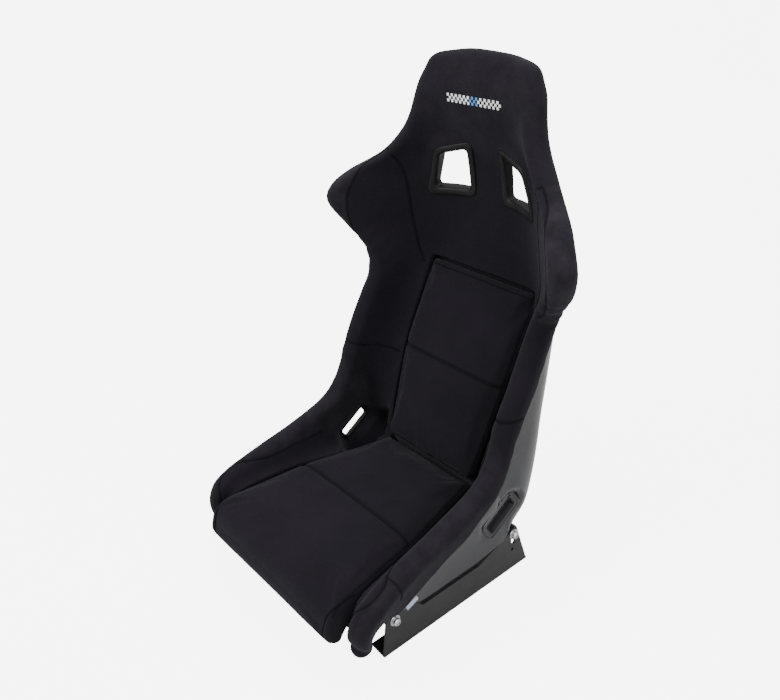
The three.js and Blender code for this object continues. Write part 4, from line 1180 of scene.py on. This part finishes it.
def make_tile(tree, cx, cz, size):
    """One square of thread laid on the cloth."""
    rear = turn_to_row((0, 1, 0))
    top = []
    for v in np.linspace(-size / 2, size / 2, 4):
        for u in np.linspace(-size / 2, size / 2, 4):
            hit = tree.ray_cast(Vector(to_row((cx + u, 150, cz + v))[0]), rear, RAY_LENGTH)
            top.append(np.array(hit[0]) + np.array(hit[1]) * TILE_RISE)
    faces = []
    for a in (4 * r + k for r in range(3) for k in range(3)):
        faces.append((a, a + 1, a + 5, a + 4))
        faces.append((a + 16, a + 20, a + 21, a + 17))
    rim = [0, 1, 2, 3, 7, 11, 15, 14, 13, 12, 8, 4]
    faces += [(a, a + 16, b + 16, b) for a, b in zip(rim, rim[1:] + rim[:1])]
    below = np.array(top) + np.array(rear) * TILE_THICKNESS
    return fix_normals(new_object("tile", np.vstack([top, below]), faces))


def make_badge(tree):
    """A small embroidered chequer strip on the headrest, raised from the cloth."""
    size, columns, lines = 4.9, 26, 3
    tiles = {"white": [], "blue": []}
    for i in range(columns):
        for j in range(lines):
            if (i + j) % 2 == 0:
                cx, cz = (i - (columns - 1) / 2) * size, 850 + (j - 1) * size
                tiles["blue" if 11 <= i <= 14 else "white"].append(make_tile(tree, cx, cz, size * 0.94))
    for colour, thread in (("white", WHITE_THREAD), ("blue", BLUE_THREAD)):
        badge = shade(merged(f"headrest_embroidery_{colour}", tiles[colour]), 30)
        dress(badge, thread, "bucket", "cover_fabric")


# ------------------------------------------------------------------ build
def both(piece, material, slot, *replaced):
    """Dresses a right-hand piece and makes and dresses its left-hand copy."""
    left = mirror_copy(piece, piece.name.replace("_right", "_left"))
    for obj, word in ((piece, "right"), (left, "left")):
        dress(obj, material, "bucket", slot, *(f"{name}_{word}" for name in replaced))


def make_harness_rings(cover_tree, shell_tree):
    """Bezels of the harness openings. Heights are over the padded face, and over the moulding."""
    rear = cast(shell_tree, HARNESS, even(harness_outline(2), 120), 160, -1)
    profile = [(13.2, -3), (13.4, 0.6), (12.4, 2.4), (9.5, 3.6), (5.5, 3.4), (2.2, 2.2), (0.4, 0.2),
               (0, -3), (0, 3, "deep"), (2.6, 3, "deep"), (2.6, -4)]
    bezel = rim_ring("harness_bezel_front_right", harness_outline, HARNESS, cover_tree, -70, 1, profile,
                     deep=rear)
    both(bezel, BEZEL, "bezel_plastic", "harness_bezel")
    profile = [(11, 0.2), (11.2, 2.0), (9.8, 3.0), (6, 3.3), (3.4, 2.6), (3.0, 0.2)]
    clamp = rim_ring("harness_clamp_ring_right", harness_outline, HARNESS, shell_tree, 170, -1, profile)
    both(clamp, BEZEL, "bezel_plastic", "harness_rear_ring")


def make_lap_rings():
    """Bezels in the lap slots and the raised frames round them, outside."""
    low, high = LAP_PLANE - 2.0, LAP_PLANE + 4.6
    profile = [(6.2, low), (6.2, low - 1.4), (5.4, low - 2.2), (2.0, low - 2.2), (0.6, low - 1.4), (0, low),
               (0, high), (2.8, high), (2.8, low)]
    both(flat_ring("lap_bezel_inside_right", profile), BEZEL, "bezel_plastic", "lap_belt_bezel")
    wall = LAP_PLANE + 4.0
    profile = [(13.5, -1.5), (13.0, 0.6), (12.0, 2.0), (10.8, 2.4), (9.4, 2.0), (8.6, 0.7), (4.6, 0.5),
               (3.2, 0.2), (3.1, -2)]
    profile = [(margin, wall + height) for margin, height in profile]
    both(flat_ring("lap_slot_frame_right", profile), GELCOAT, "fibreglass")


def make_cushions():
    """The seat and back cushions, each with its threads."""
    extra = [[(193, -205, 162), (184, -238, 156), (176, -262, 130), (176, -268, 104), (188, -262, 88)]]
    seat = make_cushion("seat_cushion_cover", SEAT_ROWS, 0.07, 13, [5.9], (2.5, 8.75), extra)
    back = make_cushion("back_cushion_cover", BACK_ROWS, 0.12, 12, [3.66], (0.3, 6.75))
    for (pad, threads), place in ((seat, "seat"), (back, "back")):
        dress(pad, CUSHION, f"{place}_pad", "cushion_fabric", f"{place}_cushion")
        dress(threads, THREAD, f"{place}_pad", "cushion_fabric")


def finish_brackets():
    """Materials and softened edges for the frame's own pieces that are shown as they are."""
    paint = {"bracket": POWDER, "insert": ZINC, "hook_strip": HOOK, "side_tag": TAG}
    for name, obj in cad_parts.items():
        for word, material in paint.items():
            if word in name and not obj.hide_render:
                obj.data.materials.clear()
                obj.data.materials.append(material)
                if word == "bracket":
                    bevel = obj.modifiers.new("bevel", "BEVEL")
                    bevel.width = 0.0007
                    bevel.segments = 2
                    bevel.limit_method = "ANGLE"
                    bevel.angle_limit = math.radians(40)


shell, shell_surface = make_shell()
dress(shell, GELCOAT, "bucket", "fibreglass", "shell")
cover, cover_surface = build_cover()
cover, cover_thread = finish_cover(cover, cover_surface)
dress(cover, COVER, "bucket", "cover_fabric", "back_lining_pad", "headrest_pad", "thigh_bolster_right",
      "thigh_bolster_left", "shoulder_bolster_right", "shoulder_bolster_left", "seat_base_foam")
dress(cover_thread, THREAD, "bucket", "cover_fabric")
make_cushions()
make_harness_rings(cover_surface, shell_surface)
make_lap_rings()
make_hardware("bucket")
make_badge(cover_surface)
finish_brackets()


# ------------------------------------------------------------------ studio
def make_floor():
    """A sheet of white paper under the seat, curved up behind it and lit for the camera."""
    size, bend, start = 4.0, 1.2, 0.9
    arc = np.linspace(0, math.pi / 2, 16)
    profile = [(start + bend * math.sin(a), bend * (1 - math.cos(a))) for a in arc]
    profile = [(-size, 0.0)] + profile + [(start + bend, size)]
    ahead = np.array([-math.sin(AZIMUTH), math.cos(AZIMUTH)])
    side = np.array([math.cos(AZIMUTH), math.sin(AZIMUTH)])
    points = [(*(ahead * d + side * s), z) for d, z in profile for s in (-5, 5)]
    faces = [(2 * i, 2 * i + 1, 2 * i + 3, 2 * i + 2) for i in range(len(profile) - 1)]
    floor = shade(new_object("studio_floor", points, faces))
    mat, tree, bsdf = nodes_of("studio_paper")
    paper = ramp(tree, noise(tree, coords(tree), 3, 2), (0.2, (0.50,) * 3), (0.8, (0.54,) * 3))
    tree.links.new(paper, bsdf.inputs["Base Color"])
    bsdf.inputs["Roughness"].default_value = 0.9
    bsdf.inputs["Specular IOR Level"].default_value = 0.1
    bsdf.inputs["Emission Color"].default_value = (1, 1, 1, 1)
    seen = tree.nodes.new("ShaderNodeLightPath").outputs["Is Camera Ray"]
    tree.links.new(maths(tree, "MULTIPLY", seen, FLOOR_SEEN), bsdf.inputs["Emission Strength"])
    floor.data.materials.append(mat)


def light_world():
    """White surroundings, bright for the camera and soft for the seat."""
    world = bpy.data.worlds.new("studio")
    bpy.context.scene.world = world
    world.use_nodes = True
    tree = world.node_tree
    background = tree.nodes["Background"]
    background.inputs["Color"].default_value = (1.0, 1.0, 1.0, 1)
    seen = tree.nodes.new("ShaderNodeLightPath").outputs["Is Camera Ray"]
    tree.links.new(spread(tree, seen, WORLD_LIGHT, WORLD_SEEN), background.inputs["Strength"])


def area(name, place, target, size, power):
    """A rectangular light turned towards a point."""
    light = bpy.data.lights.new(name, "AREA")
    light.shape = "RECTANGLE"
    light.size, light.size_y = size
    light.energy = power
    obj = bpy.data.objects.new(name, light)
    bpy.context.scene.collection.objects.link(obj)
    obj.location = place
    obj.rotation_euler = (Vector(target) - Vector(place)).to_track_quat("-Z", "Y").to_euler()


def place_camera():
    """The photograph's camera, worked out in the moulding frame and turned into the row frame."""
    ahead = Vector((-math.sin(AZIMUTH), math.cos(AZIMUTH), 0))
    forward = ahead * math.cos(ELEVATION) - Vector((0, 0, math.sin(ELEVATION)))
    level = Vector((math.cos(AZIMUTH), math.sin(AZIMUTH), 0))
    steep = level.cross(forward)
    right = turn_to_row(math.cos(ROLL) * level + math.sin(ROLL) * steep)
    up = turn_to_row(-math.sin(ROLL) * level + math.cos(ROLL) * steep)
    back = -turn_to_row(forward)
    data = bpy.data.cameras.new("photo_camera")
    data.sensor_width = SENSOR
    data.lens = LENS
    camera = bpy.data.objects.new("photo_camera", data)
    bpy.context.scene.collection.objects.link(camera)
    turn = Matrix((right, up, back)).transposed().to_4x4()
    camera.matrix_world = Matrix.Translation(to_row(CAMERA_PLACE)[0]) @ turn
    bpy.context.scene.camera = camera


make_floor()
light_world()
area("key", (-1.2, -2.2, 2.6), (0, 0, 0.45), (1.8, 1.8), 88)
area("fill", (2.6, -0.6, 1.5), (0, 0, 0.4), (1.6, 2.2), 45)
area("top", (0.2, 0.4, 3.0), (0, 0, 0.4), (2.4, 2.4), 72)
place_camera()
